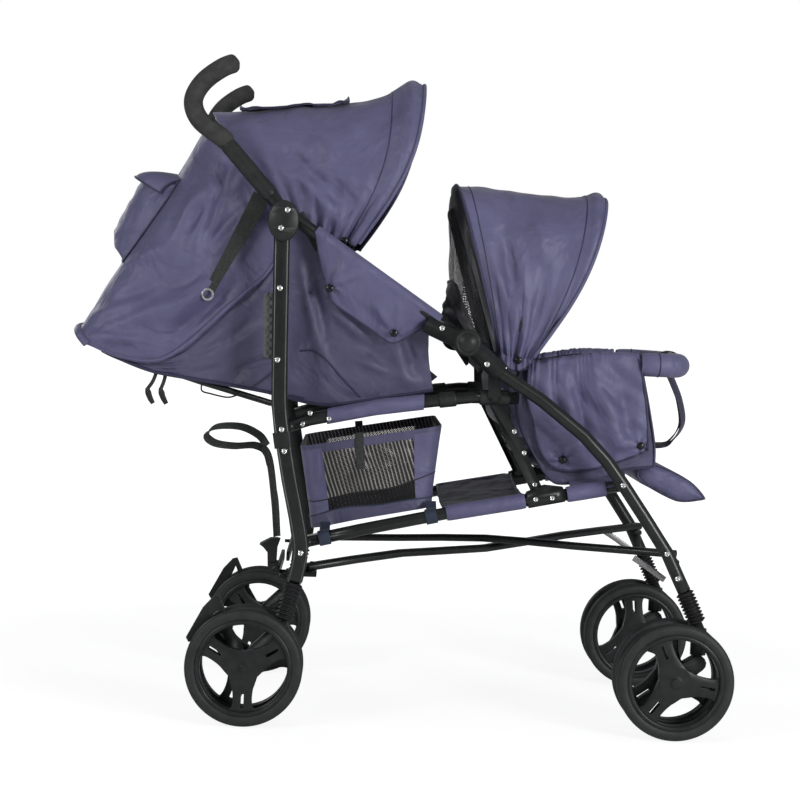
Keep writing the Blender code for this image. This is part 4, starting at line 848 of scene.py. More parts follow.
for label, s in SIDES:
    canopy_corner(f"rear_canopy_corner_{label}", rear_hood, 18, 62, s, 0.01, REAR_HALF)
    heads(f"rear_canopy_snap_{label}", SNAP, mm((127, 174.5, 737.5)), s, SNAP_BLACK, 24, fold=0.178)
print("rear canopy grid:", rear_hood.shape)

# %% [markdown]
# ## Window flap
# A flap of cloth lies over the window in the top of the rear canopy. It is a part of the hood's own grid,
# lifted a little more at its rim than in its middle, so that its edge stands up and curls as in the
# photograph.

# %% Rear canopy window flap
flap = rear_hood[40:96, 59:111]
u, v = shares(56, 52, -1)
near_rim = np.clip(np.maximum(np.abs(u) ** 6, np.abs(v) ** 8), 0, 1)
lifted = 0.003 + 0.006 * near_rim * (0.6 + 0.4 * soft_noise(u, v, 71))
flap = flap + normals_of(flap) * np.clip(lifted, 0.0026, 0.01)[..., None]
sheet("rear_canopy_window_flap", flap, COVER, INDIGO, "laid", fold=REAR_HALF)
edged("rear_canopy_flap_edge", (flap[0], flap[-1], flap[:, 0], flap[:, -1]), 0.0014, sides=8, fold=REAR_HALF)
print("flap grid:", flap.shape)

# %% [markdown]
# ## The rear seat's back
# The back is a deep shell for a child lying down: its ribs run on from the canopy's last one, down and
# back to a rolled end. A slanting seam ends the upper shell, and a second panel closes the triangle below
# it. A storage pocket with a flap bulges from its upper part.

# %% Back shell
BACK_RIBS = mm((36, 766, -82, 932), (16.6, 688.8, -124, 876), (-51.5, 621.9, -168, 795),
               (-109, 566, -208, 728),
               (-157.3, 540, -236, 676), (-215, 547, -262, 628), (-264, 566, -284, 588))
BACK_LINES = mm((-72, 840, -108, 700, 18, 5), (-48, 850, -85, 720, 11, -4.5), (-10, 790, -60, 690, 12, 4.5),
                (-50, 690, -150, 600, 16, 7), (-40, 665, -130, 580, 10, -5), (-120, 640, -220, 590, 14, 6),
                (-100, 800, -130, 740, 10, 5), (-85, 790, -110, 745, 7, -4),
                (-160, 660, -230, 620, 10, -3.5),
                (-10, 850, -70, 800, 16, 4), (-30, 780, -75, 730, 7, 4), (-140, 720, -200, 690, 12, 4.5),
                (-180, 640, -255, 605, 10, 4), (-170, 575, -250, 575, 9, 4.5))
BACK_HALF = 0.166
TIED = 14
back_centre = np.array([-0.08, 0.0, 0.68])
back_shell = facing_out(rib_surface(BACK_RIBS, BACK_HALF, 120, 170), back_centre)
seam_line = rear_hood[-4] - out[-4] * 0.0034
if seam_line[0, 1] * back_shell[0, 0, 1] < 0:
    seam_line = seam_line[::-1]
t = np.linspace(0, 1, TIED)[:, None, None]
w = t ** 2 * (3 - 2 * t)
back_shell[:TIED] = seam_line[None] * (1 - w) + back_shell[:TIED] * w
back_shell = ridges(creased(back_shell, back_centre, 0.0034, 11, (0.0, 1.0), 0.004, 2.6), BACK_LINES)
lined("back_shell", back_shell, BACK_HALF, ["rear_back_panel"])
hem("back_shell_end_roll", back_shell[-2], 0.0058, INDIGO, 16, fold=BACK_HALF)
for number, foot in enumerate((back_shell[TIED:, 0], back_shell[TIED:, -1])):
    t = np.linspace(0, 1, len(foot))
    thick = 0.35 + 0.65 * np.sin(math.pi * np.clip(t * 1.15, 0, 1)) ** 0.6 + 0.05 * soft_noise(t, 0 * t, 73)
    folded = swept_shape(foot + Z_AXIS * 0.0035, ring(0.0052, 14, 0.75), thick)
    piece(f"back_shell_folded_hem_{number}", folded, INDIGO, fold=BACK_HALF)
print("back shell grid:", back_shell.shape)

# %% Lower triangle of the back, and its seam
def patch(edge_low, edge_high, edge_start, edge_end, rows, cols):
    """Coons patch: the sum of the two ruled surfaces between opposite edges, less the bilinear one of
    the corners."""
    low, high = curve_through(edge_low, cols), curve_through(edge_high, cols)
    start, end = curve_through(edge_start, rows), curve_through(edge_end, rows)
    u, v = (share[..., None] for share in shares(rows, cols))
    ruled = (1 - u) * low[None] + u * high[None] + (1 - v) * start[:, None] + v * end[:, None]
    corners = (1 - u) * (1 - v) * low[0] + (1 - u) * v * low[-1] + u * (1 - v) * high[0] + u * v * high[-1]
    return ruled - corners


LOWER_EDGE = mm((-238, 556), (-215, 546), (-157.2, 526.5), (-80, 515.5), (-4.7, 505), (36, 498.5), (74, 493))
LOWER_SEAM = mm((-237, 559), (-215, 555), (-157, 548), (-104, 576), (-51.5, 626), (16.6, 694), (44, 748))
GUSSET = mm((50, 555), (20, 528), (-4, 510))
LOWER_START = mm((-238, 156, 556), (-237.5, 160, 557.5), (-237, 161, 559))
LOWER_END = mm((74, 156, 493), (66, 160, 620), (44, 161, 748))
LOWER_LINES = mm((-90, 540, 20, 610, 10, 3), (-40, 530, 40, 560, 8, -2.5), (0, 640, 40, 700, 10, 3),
                 (-60, 560, 0, 620, 8, -2.5))
for label, s in SIDES:
    start, end = LOWER_START * (1, s, 1), LOWER_END * (1, s, 1)
    panel = patch(with_y(LOWER_EDGE, s * 0.156), with_y(LOWER_SEAM, s * 0.161), start, end, 50, 90)
    panel = facing_out(panel, (-0.05, 0, 0.6))
    panel[..., 1] += s * 0.0012 * soft_noise(*shares(50, 90), 21)
    sheet(f"back_lower_panel_{label}", ridges(panel, LOWER_LINES), COVER, INDIGO_PAINTED_SHADE, "hung",
          fold=BACK_HALF)
    low = curve_through(with_y(LOWER_EDGE, s * 0.1565), 80)
    seam = curve_through(with_y(GUSSET, s * 0.159), 30)
    hem(f"back_lower_hem_{label}", low, 0.003, PIPING, fold=BACK_HALF)
    hem(f"back_lower_gusset_seam_{label}", seam, 0.0011, PIPING, 8, fold=BACK_HALF)
print("lower panels:", panel.shape)

# %% Pocket on the back
POCKET_OUT = np.array([-0.84, 0.0, 0.36])


def pocket():
    """Part of the shell moved out by a bulge that is steep at its rim, deepest near the top, and sags
    below."""
    part = back_shell[35:81, 56:113]
    u = np.linspace(0, 1, part.shape[0])[:, None]
    v = np.linspace(-1, 1, part.shape[1])[None, :]
    profile = np.interp(u, [0.0, 0.06, 0.16, 0.45, 0.8, 0.93, 1.0],
                        [0.05, 0.72, 0.98, 1.0, 0.82, 0.55, 0.02])
    wander = soft_noise(u, v * 0.5 + 0.5, 31)
    bulge = 0.048 * profile * (1 - np.abs(v) ** 7) + 0.0018 * wander * profile + 0.0015
    return part + POCKET_OUT * bulge[..., None], part


pocket_grid, pocket_base = pocket()
if outward_sign(pocket_grid, back_centre) < 0:
    pocket_grid, pocket_base = pocket_grid[:, ::-1], pocket_base[:, ::-1]
sheet("back_pocket", pocket_grid, 0.0016, INDIGO, "gathered", fold=BACK_HALF)
flap_top = pocket_base[0] + mm(4, 0, 4)
flap_out = pocket_grid[5] + mm(-10, 0, 13)
flap_lip = pocket_grid[7] + mm(-15, 0, 2)
w = np.linspace(0, 1, 16)[:, None, None]
flap = (1 - w) ** 2 * flap_top[None] + 2 * w * (1 - w) * flap_out[None] + w ** 2 * flap_lip[None]
flap = facing_out(flap, back_centre)
sheet("back_pocket_flap", flap, COVER, INDIGO, "hung", fold=BACK_HALF)
lip = flap[-1] if abs(flap[-1, 5, 0] - flap_lip[5, 0]) < 0.004 else flap[0]
edged("back_pocket_flap_edge", (lip, flap[:, 0], flap[:, -1]), 0.0016, fold=BACK_HALF)
seams = [line + POCKET_OUT * 0.0022 for line in (pocket_base[:, 0], pocket_base[:, -1], pocket_base[-1])]
edged("back_pocket_seam", seams, 0.0015, sides=8, fold=BACK_HALF)
print("pocket grid:", pocket_grid.shape)

# %% [markdown]
# ## Front canopy
# The front canopy goes over the same kind of ribs, then down behind the front child as black see-through
# mesh with a cloth frame round its window, as the photograph shows through the gap between the seats.

# %% Front canopy
FRONT_RIBS = mm((426, 570, 536, 824), (421, 566, 520, 832), (412, 563, 490, 828), (398, 562, 425, 832),
                (384, 566, 345, 837), (372, 576, 300, 838))
FRONT_LINES = mm((345, 740, 392, 620, 12, 5), (372, 760, 404, 640, 10, -4), (400, 720, 410, 610, 12, 5),
                 (440, 700, 418, 610, 10, -3.5), (420, 790, 440, 720, 14, 3))
FRONT_HALF = 0.166
front_centre = np.array([0.4, 0.0, 0.7])
front_hood = hood(FRONT_RIBS, FRONT_HALF, 100, front_centre, (0.02, 0.5), (0.002, 5, (0.14, 0.86), 0.003),
                  (0.0036, 4, 6, 0.4), FRONT_LINES, (0.0038, 0.055, 0.045))
out = normals_of(front_hood)
lined("front_canopy", front_hood, FRONT_HALF, ["front_canopy"])
hems(("front_canopy_front_piping", front_hood[0], 0.0028, INDIGO, 10),
     ("front_canopy_visor_seam", front_hood[14] - out[14] * 0.0006, 0.0013, PIPING, 10),
     ("front_canopy_rear_piping", front_hood[-1], 0.0026, PIPING, 10),
     ("front_canopy_rear_seam", front_hood[-9] - out[-9] * 0.0004, 0.0012, PIPING, 8), fold=FRONT_HALF)
for label, s in SIDES:
    canopy_corner(f"front_canopy_corner_{label}", front_hood, 10, 96, s, 0.013, FRONT_HALF)
    heads(f"front_canopy_snap_{label}", SNAP, mm((401, 169, 565.5)), s, SNAP_BLACK, 24, fold=0.172)
print("front canopy grid:", front_hood.shape)

# %% [markdown]
# ## Behind the front child
# Four more ribs carry the front hood down as a mesh. A border along its top and a gathered pouch at its
# foot are rows of the mesh's own grid, moved out a little.

# %% Back of the front canopy
MESH_RIBS = mm((372, 576, 300, 838), (352, 578, 295, 812), (347, 562, 299, 690), (342, 546, 303, 600))
front_back = facing_out(rib_surface(MESH_RIBS, FRONT_HALF - 0.002, 60, 140), front_centre)
front_back = creased(front_back, front_centre, 0.003, 8)
out = normals_of(front_back)
border = front_back[:10] + out[:10] * 0.0012
u, v = shares(22, 140)
lift = 0.0016 + 0.01 * np.sin(math.pi * u) ** 0.8 * (0.6 + 0.4 * soft_noise(u, v, 83))
pouch = front_back[38:] + out[38:] * lift[..., None]
sheet("front_canopy_back_mesh", front_back, 0.0006, BACK_MESH, fold=FRONT_HALF)
sheet("front_canopy_back_border", border, 0.001, LINING, slot="black_mesh_fabric", fold=FRONT_HALF)
hem("front_canopy_border_edge", border[-1], 0.0013, LINING, 8, fold=FRONT_HALF)
sheet("front_canopy_back_pouch", pouch, 0.0012, LINING, "gathered", slot="black_mesh_fabric",
      fold=FRONT_HALF)
hem("front_canopy_back_hem", front_back[-1], 0.003, LINING, fold=FRONT_HALF)
hem("front_canopy_pouch_hem", pouch[0], 0.0022, LINING, fold=FRONT_HALF)
print("mesh grid:", front_back.shape)

# %% [markdown]
# ## Side panels
# The rear side panel hangs from a wrap that goes over the handle tube and is closed by snaps. A curved
# seam divides it, and a heavier piping ends it above the rail. The front panel is a single padded sheet,
# gathered along its top.

# %% Rear side panels and arm wraps
TUBE_ALONG = unit(with_y([HUB_POINT - HINGE_POINT], 0)[0])
TUBE_UP = np.array([-TUBE_ALONG[2], 0, TUBE_ALONG[0]])
SIDE_LINES = mm((105, 650, 180, 560, 12, 4), (120, 610, 210, 545, 9, -3.5), (205, 590, 230, 530, 10, 4),
                (225, 600, 245, 540, 8, -3), (60, 700, 90, 600, 10, 4), (75, 690, 105, 590, 8, -3),
                (140, 560, 240, 530, 10, 3), (80, 620, 110, 540, 12, 3))
SIDE_TOP = mm((42, 764), (78, 742), (170, 681), (262, 621))
SIDE_LOW = mm((44, 496), (80, 488), (119.4, 486), (204.6, 501), (272, 514))
SIDE_START = mm((42, 180, 764), (40, 164, 640), (44, 158, 496))
SIDE_END = mm((262, 180, 621), (263, 162, 570), (272, 158, 514))
SIDE_SEAM = mm((65.6, 566.7), (85.5, 567.4), (105, 556), (128.3, 530.7), (160.3, 499))
WRAP_LOW = mm((100, 670.1), (113.8, 643.5), (150, 619), (180.6, 599.1), (200.8, 586.3), (214.5, 586.8),
              (240, 602), (264, 618), (271, 625))
WRAP_LINES = mm((128, 705, 111, 672, 6, 2.2), (155, 690, 116, 668, 6, 2.4), (215, 642, 209, 608, 6, 2.2),
                (178, 642, 202, 606, 6, 2.4), (240, 610, 214, 601, 5, 1.8), (150, 640, 190, 610, 9, -1.8))
WRAP_SNAPS = mm((108.5, 664), (208, 600))
WRAP_TUBE = mm((82.6, 197.7, 746.9), (275, 197.7, 619.5))
WRAP_SEAM = mm((82.6, 208, 750), (90, 199, 715), (98.5, 190, 676))


def arm_wrap(s):
    """Round the tube from its inner side over the top (an arc), then straight down to the curved lower
    edge."""
    low = curve_through(with_y(WRAP_LOW, s * 0.185), 70)
    t = np.linspace(0, 1, 70)[:, None]
    start, end = WRAP_TUBE * (1, s, 1)
    over = arc(start * (1 - t) + end * t, 0.0126, np.radians(np.linspace(215, 5, 22)), s * Y_AXIS, TUBE_UP)
    w = np.linspace(0, 1, 26)[1:, None]
    drop = over[:, -1][:, None] * (1 - w) + low[:, None] * w
    drop[..., 1] += s * 0.004 * np.sin(math.pi * w[:, 0]) ** 1.5
    grid = np.concatenate([over, drop], axis=1)
    grid[..., 1] += s * 0.0009 * soft_noise(*shares(*grid.shape[:2]), 41, 2.2)
    return grid


def rear_side(s):
    """A sheet from the tube's inner side, leaning in to the seat, down to the lower piping."""
    grid = patch(with_y(SIDE_TOP, s * 0.18), with_y(SIDE_LOW, s * 0.158), SIDE_START * (1, s, 1),
                 SIDE_END * (1, s, 1), 56, 64)
    u, v = shares(56, 64)
    belly = 0.0045 * np.sin(math.pi * u) * np.sin(math.pi * v)
    grid[..., 1] += s * (belly + 0.0012 * soft_noise(u, v, 43, 2.4))
    return ridges(facing_out(grid, (0.17, 0, 0.58)), SIDE_LINES)


def lay_on(points, grid, s, lift):
    """Gives profile points the y of the nearest grid point, so that a seam lies on its cloth."""
    q = curve_through(points, 60)
    flat = grid.reshape(-1, 3)
    near = np.argmin(((flat[None, :, ::2] - q[:, None]) ** 2).sum(axis=2), axis=1)
    y = np.pad(flat[near, 1] + s * lift, 4, mode="edge")
    return with_y(q, np.convolve(y, np.ones(9) / 9, mode="valid"))


def puckered(grid, places, s):
    """Cloth drawn in at each snap: a dimple exp(-(r / 8 mm)^2) and six small rays that fade within
    about 2 cm."""
    x, z = grid[..., 0], grid[..., 2]
    grid = grid.copy()
    for px, pz in places:
        r = np.hypot(x - px, z - pz)
        fade = np.exp(-(r / 0.02) ** 2) * (1 - np.exp(-(r / 0.006) ** 2))
        rays = fade * np.cos(6 * np.arctan2(z - pz, x - px) + 0.7)
        grid[..., 1] += s * (0.0026 * rays - 0.0022 * np.exp(-(r / 0.008) ** 2))
    return grid


for label, s in SIDES:
    side = {"body": f"{label}_side"}
    panel = rear_side(s)
    sheet(f"rear_side_cloth_{label}", panel, 0.0022, INDIGO_PAINTED_SHADE, "hung",
          replaces=[f"rear_side_panel_{label}"], **side)
    hem(f"rear_side_seam_{label}", lay_on(SIDE_SEAM, panel, s, 0.0006), 0.0013, PIPING, 8, **side)
    low_row = panel[-1] if panel[-1, 0, 2] < panel[0, 0, 2] else panel[0]
    hem(f"rear_side_piping_{label}", low_row, 0.0028, PIPING, **side)
    wrap = ridges(facing_out(puckered(arm_wrap(s), WRAP_SNAPS, s), (0.17, 0, 0.66)), WRAP_LINES)
    wrap = facing_out(wrap, (0.17, s * 0.19, 0.66))
    sheet(f"arm_wrap_{label}", wrap, COVER, INDIGO, "draped", **side)
    low_edge = wrap[:, -1] if wrap[5, -1, 2] < wrap[5, 0, 2] and abs(wrap[5, -1, 1]) < 0.19 else wrap[:, 0]
    hem(f"arm_wrap_hem_{label}", low_edge, 0.0013, PIPING, 8, **side)
    places = [(px, (s * wrap[..., 1])[np.hypot(wrap[..., 0] - px, wrap[..., 2] - pz) < 0.006].max(), pz)
              for px, pz in WRAP_SNAPS]
    heads(f"arm_wrap_snaps_{label}", SNAP, places, s, SNAP_BLACK, 24, **side)
    hem(f"arm_wrap_end_seam_{label}", curve_through(WRAP_SEAM * (1, s, 1), 30), 0.0012, PIPING, 8, **side)
    rail = on_upper(0.1115, 0.2585, s, 50)
    wrap = arc(rail, 0.0122, np.radians(np.linspace(-120, 200, 26)), s * Y_AXIS, Z_AXIS)
    wrap[..., 1] += s * 0.0007 * soft_noise(*shares(50, 26), 47)
    sheet(f"rail_wrap_{label}", facing_out(wrap, rail.mean(axis=0)), 0.0014, INDIGO, **side)
print("snaps on each arm wrap:", len(places))

# %% Front side panels
FRONT_TOP = mm((418, 551), (442.9, 558), (466, 562), (511.9, 570), (542.7, 573), (588.8, 573.5))
FRONT_LOW = mm((460, 403), (481, 397.5), (519.7, 400.5), (565.6, 414.5), (608, 433))
FRONT_LEFT = mm((418, 551), (417, 520), (423.1, 486), (441, 429), (460, 403))
FRONT_RIGHT = mm((588.8, 573.5), (596, 540), (606, 480), (608, 433))
INNER_TOP = mm((412, 550), (470, 560), (530, 568), (594, 560))
INNER_LOW = mm((445.6, 398.5), (461.9, 380.5), (482.2, 376.5), (536.1, 385.5), (574.2, 401), (620, 408))
INNER_LEFT = mm((412, 550), (402, 500), (412.5, 456), (445.6, 398.5))
INNER_RIGHT = mm((594, 560), (608.5, 496.1), (618.7, 442.2), (620, 408))
FRONT_PANEL_LINES = mm((470, 545, 500, 440, 14, 4.5), (490, 540, 510, 450, 9, -3.5),
                       (520, 550, 560, 450, 16, 4),
                       (560, 540, 580, 460, 12, -3), (440, 540, 460, 470, 10, 3),
                       (540, 430, 590, 450, 10, 3))
FRONT_SNAPS = mm((477.1, 414), (596.5, 440))


def front_side(s):
    """A padded panel: a Coons patch with a crown in the middle, and loose gathers that die away below
    its top."""
    grid = patch(with_y(FRONT_TOP, s * 0.16), with_y(FRONT_LOW, s * 0.156), with_y(FRONT_LEFT, s * 0.1565),
                 with_y(FRONT_RIGHT, s * 0.1565), 70, 110)
    u, v = shares(70, 110)
    grid[..., 1] += s * 0.006 * np.sin(math.pi * u) ** 0.7 * np.sin(math.pi * v) ** 0.7
    turns = v * 17 + 0.7 * np.sin(math.tau * v * 1.7) + 0.5 * np.sin(math.tau * v * 4.1)
    gathers = np.sin(math.tau * turns) * np.exp(-u / 0.13) * np.exp(-(v / 0.58) ** 4)
    grid[..., 1] += s * (0.0019 * gathers + 0.0016 * soft_noise(u, v, 51, 2.5))
    a = np.linspace(math.pi * 0.95, 0.12, 12)[:, None]
    x, y, z = grid[0].T
    rise = (0.01 + 0.0007 * soft_noise(v * 6, v, 57)) * np.sin(a)
    over = np.stack([np.broadcast_to(x, (12, 110)), y + s * 0.0105 * (np.cos(a) - 1), z + rise], axis=-1)
    return puckered(np.concatenate([over, grid]), FRONT_SNAPS, s)


for label, s in SIDES:
    side = {"body": f"{label}_side"}
    middle = (0.52, s * 0.13, 0.49)
    panel = ridges(facing_out(front_side(s), middle), FRONT_PANEL_LINES)
    sheet(f"front_side_cloth_{label}", panel, 0.0036, INDIGO, "hung",
          replaces=[f"front_side_panel_{label}"], **side)
    edged("front_side_piping", (panel[-1], panel[11:, 0], panel[11:, -1]), 0.002, end=f"_{label}", **side)
    inner = patch(with_y(INNER_TOP, s * 0.148), with_y(INNER_LOW, s * 0.15), with_y(INNER_LEFT, s * 0.149),
                  with_y(INNER_RIGHT, s * 0.149), 50, 70)
    inner = facing_out(inner, middle)
    sheet(f"front_inner_side_{label}", inner, COVER, INDIGO_PAINTED_SHADE, "hung", **side)
    edged("front_inner_piping", (inner[-1], inner[:, 0], inner[:, -1]), 0.0022, end=f"_{label}", **side)
    heads(f"front_side_snaps_{label}", SNAP, with_y(FRONT_SNAPS, 0.159), s, SNAP_BLACK, 24, **side)
print("front panel grid:", panel.shape)

# %% [markdown]
# ## Cushions
# The seat pads and backrests are soft bags of wadding. Each starts a little small, is filled by a short
# cloth simulation with inner pressure, and then gets its sewn channels, because a remesh would lose seams
# that narrow.

# %% Cushion shape and filling
GROOVE = 0.0045


def pillow(a, b, along, normal, half_width, thickness):
    """Upper and lower skins at half the thickness times a round-edged profile, welded along their rim."""
    u = np.sin(np.linspace(-math.pi / 2, math.pi / 2, 40))[:, None]
    v = np.sin(np.linspace(-math.pi / 2, math.pi / 2, 44))[None, :]
    height = (thickness / 2 * ((1 - u ** 6) * (1 - v ** 6)) ** 0.5)[..., None]
    draw_u = (u * (1 - 0.03 * (1 - v ** 2) * np.abs(u) ** 3))[..., None]
    draw_v = (v * (1 - 0.03 * (1 - u ** 2) * np.abs(v) ** 3))[..., None]
    base = (a + b) / 2 + along * (np.linalg.norm(b - a) / 2 * draw_u) + Y_AXIS * (half_width * draw_v)
    return two_skins(base + normal * height, base - normal * height)


def bake(obj):
    """Makes the modifiers' result the object's own mesh."""
    bpy.context.view_layer.update()
    graph = bpy.context.evaluated_depsgraph_get()
    obj.data = bpy.data.meshes.new_from_object(obj.evaluated_get(graph), depsgraph=graph)
    obj.modifiers.clear()
    return obj.data


def filled(obj, cap):
    """Swells a closed mesh by cloth pressure for 20 frames, and keeps every point within the cap of
    its start."""
    remesh = obj.modifiers.new("remesh", "REMESH")
    remesh.mode = "VOXEL"
    remesh.voxel_size = 0.006
    data = bake(obj)
    before = np.array([v.co for v in data.vertices])
    soft = obj.modifiers.new("fill", "CLOTH")
    soft.settings.use_pressure = True
    soft.settings.uniform_pressure_force = 4.0
    soft.settings.effector_weights.gravity = 0.0
    soft.settings.quality = 5
    soft.point_cache.frame_start, soft.point_cache.frame_end = 1, 20
    scene = bpy.context.scene
    for number in range(1, 21):
        scene.frame_set(number)
    graph = bpy.context.evaluated_depsgraph_get()
    move = np.array([v.co for v in obj.evaluated_get(graph).data.vertices]) - before
    size = np.linalg.norm(move, axis=1, keepdims=True)
    obj.modifiers.clear()
    data.vertices.foreach_set("co", (before + move * np.minimum(1, cap / np.maximum(size, 1e-9))).ravel())
    scene.frame_set(1)


def cushion(name, ends, half_width, thickness, channels, body, node_name):
    """A filled pillow with sewn channels: each draws both skins in by a Gaussian groove across the
    cushion."""
    a, b = with_y(ends, 0)
    length = np.linalg.norm(b - a)
    along = (b - a) / length
    normal = np.cross(along, -Y_AXIS)
    normal = normal * (1 if normal[2] > 0 or abs(normal[2]) < 0.3 and normal[0] > 0 else -1)
    shape = pillow(a, b, along, normal, half_width - 0.003, thickness - 0.004)
    obj = piece(name, shape, INDIGO_PAINTED_DEEP_SHADE, body, replaces=[node_name], weld=1e-4)
    filled(obj, 0.006)
    smoother = obj.modifiers.new("finer", "SUBSURF")
    smoother.levels = smoother.render_levels = 1
    data = bake(obj)
    p = np.array([v.co for v in data.vertices]) - REAR_AXLE
    height = (p - (a + b) / 2) @ normal
    lines = (np.arange(channels) + 1) / (channels + 1)
    near = np.exp(-(((p - a) @ along / length)[:, None] - lines[None]) ** 2
                  * (length / 0.006) ** 2).sum(axis=1)
    inside = np.clip((half_width * 0.93 - np.abs(p[:, 1])) / 0.012, 0, 1)
    draw = np.sign(height) * near * inside * GROOVE * np.clip(np.abs(height) / 0.004, 0, 1)
    p = p - normal * draw[:, None]
    room = thickness / 2 + 0.0055
    height = (p - (a + b) / 2) @ normal
    p = p - normal * (height - np.clip(height, -room, room))[:, None]
    p[:, 1] = np.clip(p[:, 1], -half_width, half_width)
    data.vertices.foreach_set("co", (p + REAR_AXLE).ravel())
    data.materials.clear()
    data.materials.append(INDIGO_PAINTED_DEEP_SHADE)
    data.shade_smooth()
    folds_in(obj)
    print(name, "points:", len(p))


cushion("rear_seat_cushion", mm((70, 523.5), (283, 533.5)), 0.149, 0.026, 3, "right_side", "rear_seat_pad")
cushion("rear_back_cushion", mm((36, 521), (-243, 583.8)), 0.139, 0.024, 4, "rear_backrest", "rear_backrest")
cushion("front_seat_cushion", mm((407, 412.5), (598, 432.5)), 0.149, 0.026, 3, "right_side",
        "front_seat_pad")
cushion("front_back_cushion", mm((352, 688), (391.5, 446)), 0.143, 0.024, 4, "front_backrest",
        "front_backrest")

# %% [markdown]
# ## Bumper bar, crotch strap and footrest
# The bar has a padded cover with a seam, and dark ends. The crotch strap is a doubled webbing loop from
# the bar to the seat's front edge. The footrest is a padded board covered in cloth.

# %% Bumper bar
BAR_HALF = mm((593.5, 146, 565.5), (625, 146, 565.5), (648, 131, 565), (657, 105, 565), (659, 44, 565))
BAR_PIECE = {"body": "bumper_bar", "fold": 0.155}
half = BAR_HALF * (1, -1, 1)
bar_path = curve_through(np.vstack([half, BAR_HALF[::-1]]), 120)
t = np.linspace(0, 1, 120)
fat = 1 - 0.1 * np.exp(-np.minimum(t, 1 - t) / 0.012) + 0.012 * np.sin(t * 90) * np.sin(math.pi * t)
bar = piece("bumper_bar_cover", swept_shape(bar_path, ring(0.0185, 32), fat), INDIGO,
            replaces=["bumper_bar"], **BAR_PIECE)
ahead = np.gradient(bar_path, axis=0)
sideways = unit(np.cross(ahead, Z_AXIS))
sideways *= np.sign(sideways[60, 0])
hem("bumper_bar_seam", (bar_path - sideways * 0.0183 * fat[:, None])[2:-2], 0.0012, PIPING, 8, **BAR_PIECE)
for number, spot in enumerate((8, 111)):
    around = arc(bar_path[spot], 0.0183, np.linspace(0, math.tau, 49), sideways[spot], Z_AXIS)
    piece(f"bumper_bar_end_seam_{number}", swept_shape(around, ring(0.0011, 8), across=ahead[spot]), PIPING,
          **BAR_PIECE)
print("bumper bar length:", round(float(np.linalg.norm(np.diff(bar_path, axis=0), axis=1).sum()), 3))

# %% Crotch strap and footrest
STRAP = mm((658, 0, 555), (669, 0, 533), (681, 0, 504), (687, 0, 469), (674, 0, 443), (652, 0, 432),
           (585, 0, 434))
FOOTREST = mm((594, 421.5), (612, 415), (650, 402), (686, 383.5), (709.5, 360), (704, 354.5), (664, 351.5),
              (620, 371), (603, 380), (591.5, 393))
path = curve_through(STRAP, 70)[3:-6]
inner_path = path + mm(-4.5, 0, 1.2) * np.sin(np.linspace(0, math.pi, len(path)))[:, None]
around = arc(mm(659, 0, 565), 0.02, np.linspace(0, math.tau, 61)[:-1], X_AXIS, Z_AXIS)
tape("crotch_strap_outer", path, (26, 2.6, 1.1), INDIGO_PAINTED_DEEP_SHADE, (0.4, 0.86, 0.25), slot="black_webbing",
     replaces=["crotch_strap"], fold=0.15)
tape("crotch_strap_inner", inner_path, (22, 1.8, 0.8), WEBBING, (0.3, 0.9, 0.2), fold=0.15)
tape("crotch_strap_bar_loop", np.vstack([around, around[:2]]), (26, 2, 0.9), WEBBING, body="bumper_bar",
     fold=0.15)

outline = curve_through(np.vstack([FOOTREST, FOOTREST[:1]]), 121)[:-1]
mid = outline.mean(axis=0)
y = np.sin(np.linspace(-math.pi / 2, math.pi / 2, 60)) * 0.1395
swell = (1 - (np.abs(y) / 0.14) ** 12) ** 0.25 * (1 - 0.012 * np.cos(math.tau * y / 0.07) ** 2)
board = mid + (outline - mid)[None] * np.clip(swell, 0.05, 1)[:, None, None]
board = np.stack([board[..., 0], np.broadcast_to(y[:, None], board.shape[:2]), board[..., 1]], axis=-1)
faces = grid_faces(60, 120, round_cols=True) + [list(range(120)), [59 * 120 + k for k in range(120)]]
REST_PIECE = {"body": "footrest", "fold": 0.15}
rest = piece("footrest_cover", (board.reshape(-1, 3), faces), INDIGO, replaces=["footrest"], crease=55,
             **REST_PIECE)
loop = mid + (outline - mid) * 0.88
loop = np.vstack([loop, loop[:2]])
edged("footrest_piping", [with_y(loop, s * 0.1305) for s in (-1, 1)], 0.0019, sides=8, **REST_PIECE)
print("footrest grid:", board.shape)

# %% [markdown]
# ## Basket
# The basket is a bag of open mesh with bound edges. It is a loft: a rounded rectangle whose height, size
# and sag change from the floor's middle out to the rim.

# %% Basket bag
FLOOR_X, FLOOR_Z = mm(94, 160, 276), mm(292, 308, 332)
RIM_X, RIM_Z = mm(72, 288), mm(418, 458)
ROUND = 160


def round_rectangle(x0, x1, y_half):
    """Points round a rectangle with 22 mm corners, at equal steps, from one corner on."""
    section = rounded_bar(x1 - x0, 2 * y_half, 0.022, 8)
    return even_steps(np.vstack([section, section[:1]]), ROUND + 1)[:-1] + ((x0 + x1) / 2, 0)


def basket_ring(level):
    """Level 0 is the floor's edge and 1 the rim: both rectangles and both heights are blended between
    them."""
    low, high = round_rectangle(0.094, 0.276, 0.148), round_rectangle(0.072, 0.288, 0.15)
    plan = low * (1 - level) + high * level
    z = np.interp(low[:, 0], FLOOR_X, FLOOR_Z) * (1 - level) + np.interp(high[:, 0], RIM_X, RIM_Z) * level
    lobes = np.abs(np.sin(np.linspace(0, 4 * math.pi, ROUND)))
    belly = 1 - 0.025 * math.sin(math.pi * min(level, 1.0)) * lobes
    centre = np.array([0.18, 0.0])
    return np.insert(centre + (plan - centre) * belly[:, None], 2, z, axis=1)


def closed_ring(grid):
    """The grid with its first column repeated at the end."""
    return np.concatenate([grid, grid[:, :1]], axis=1)


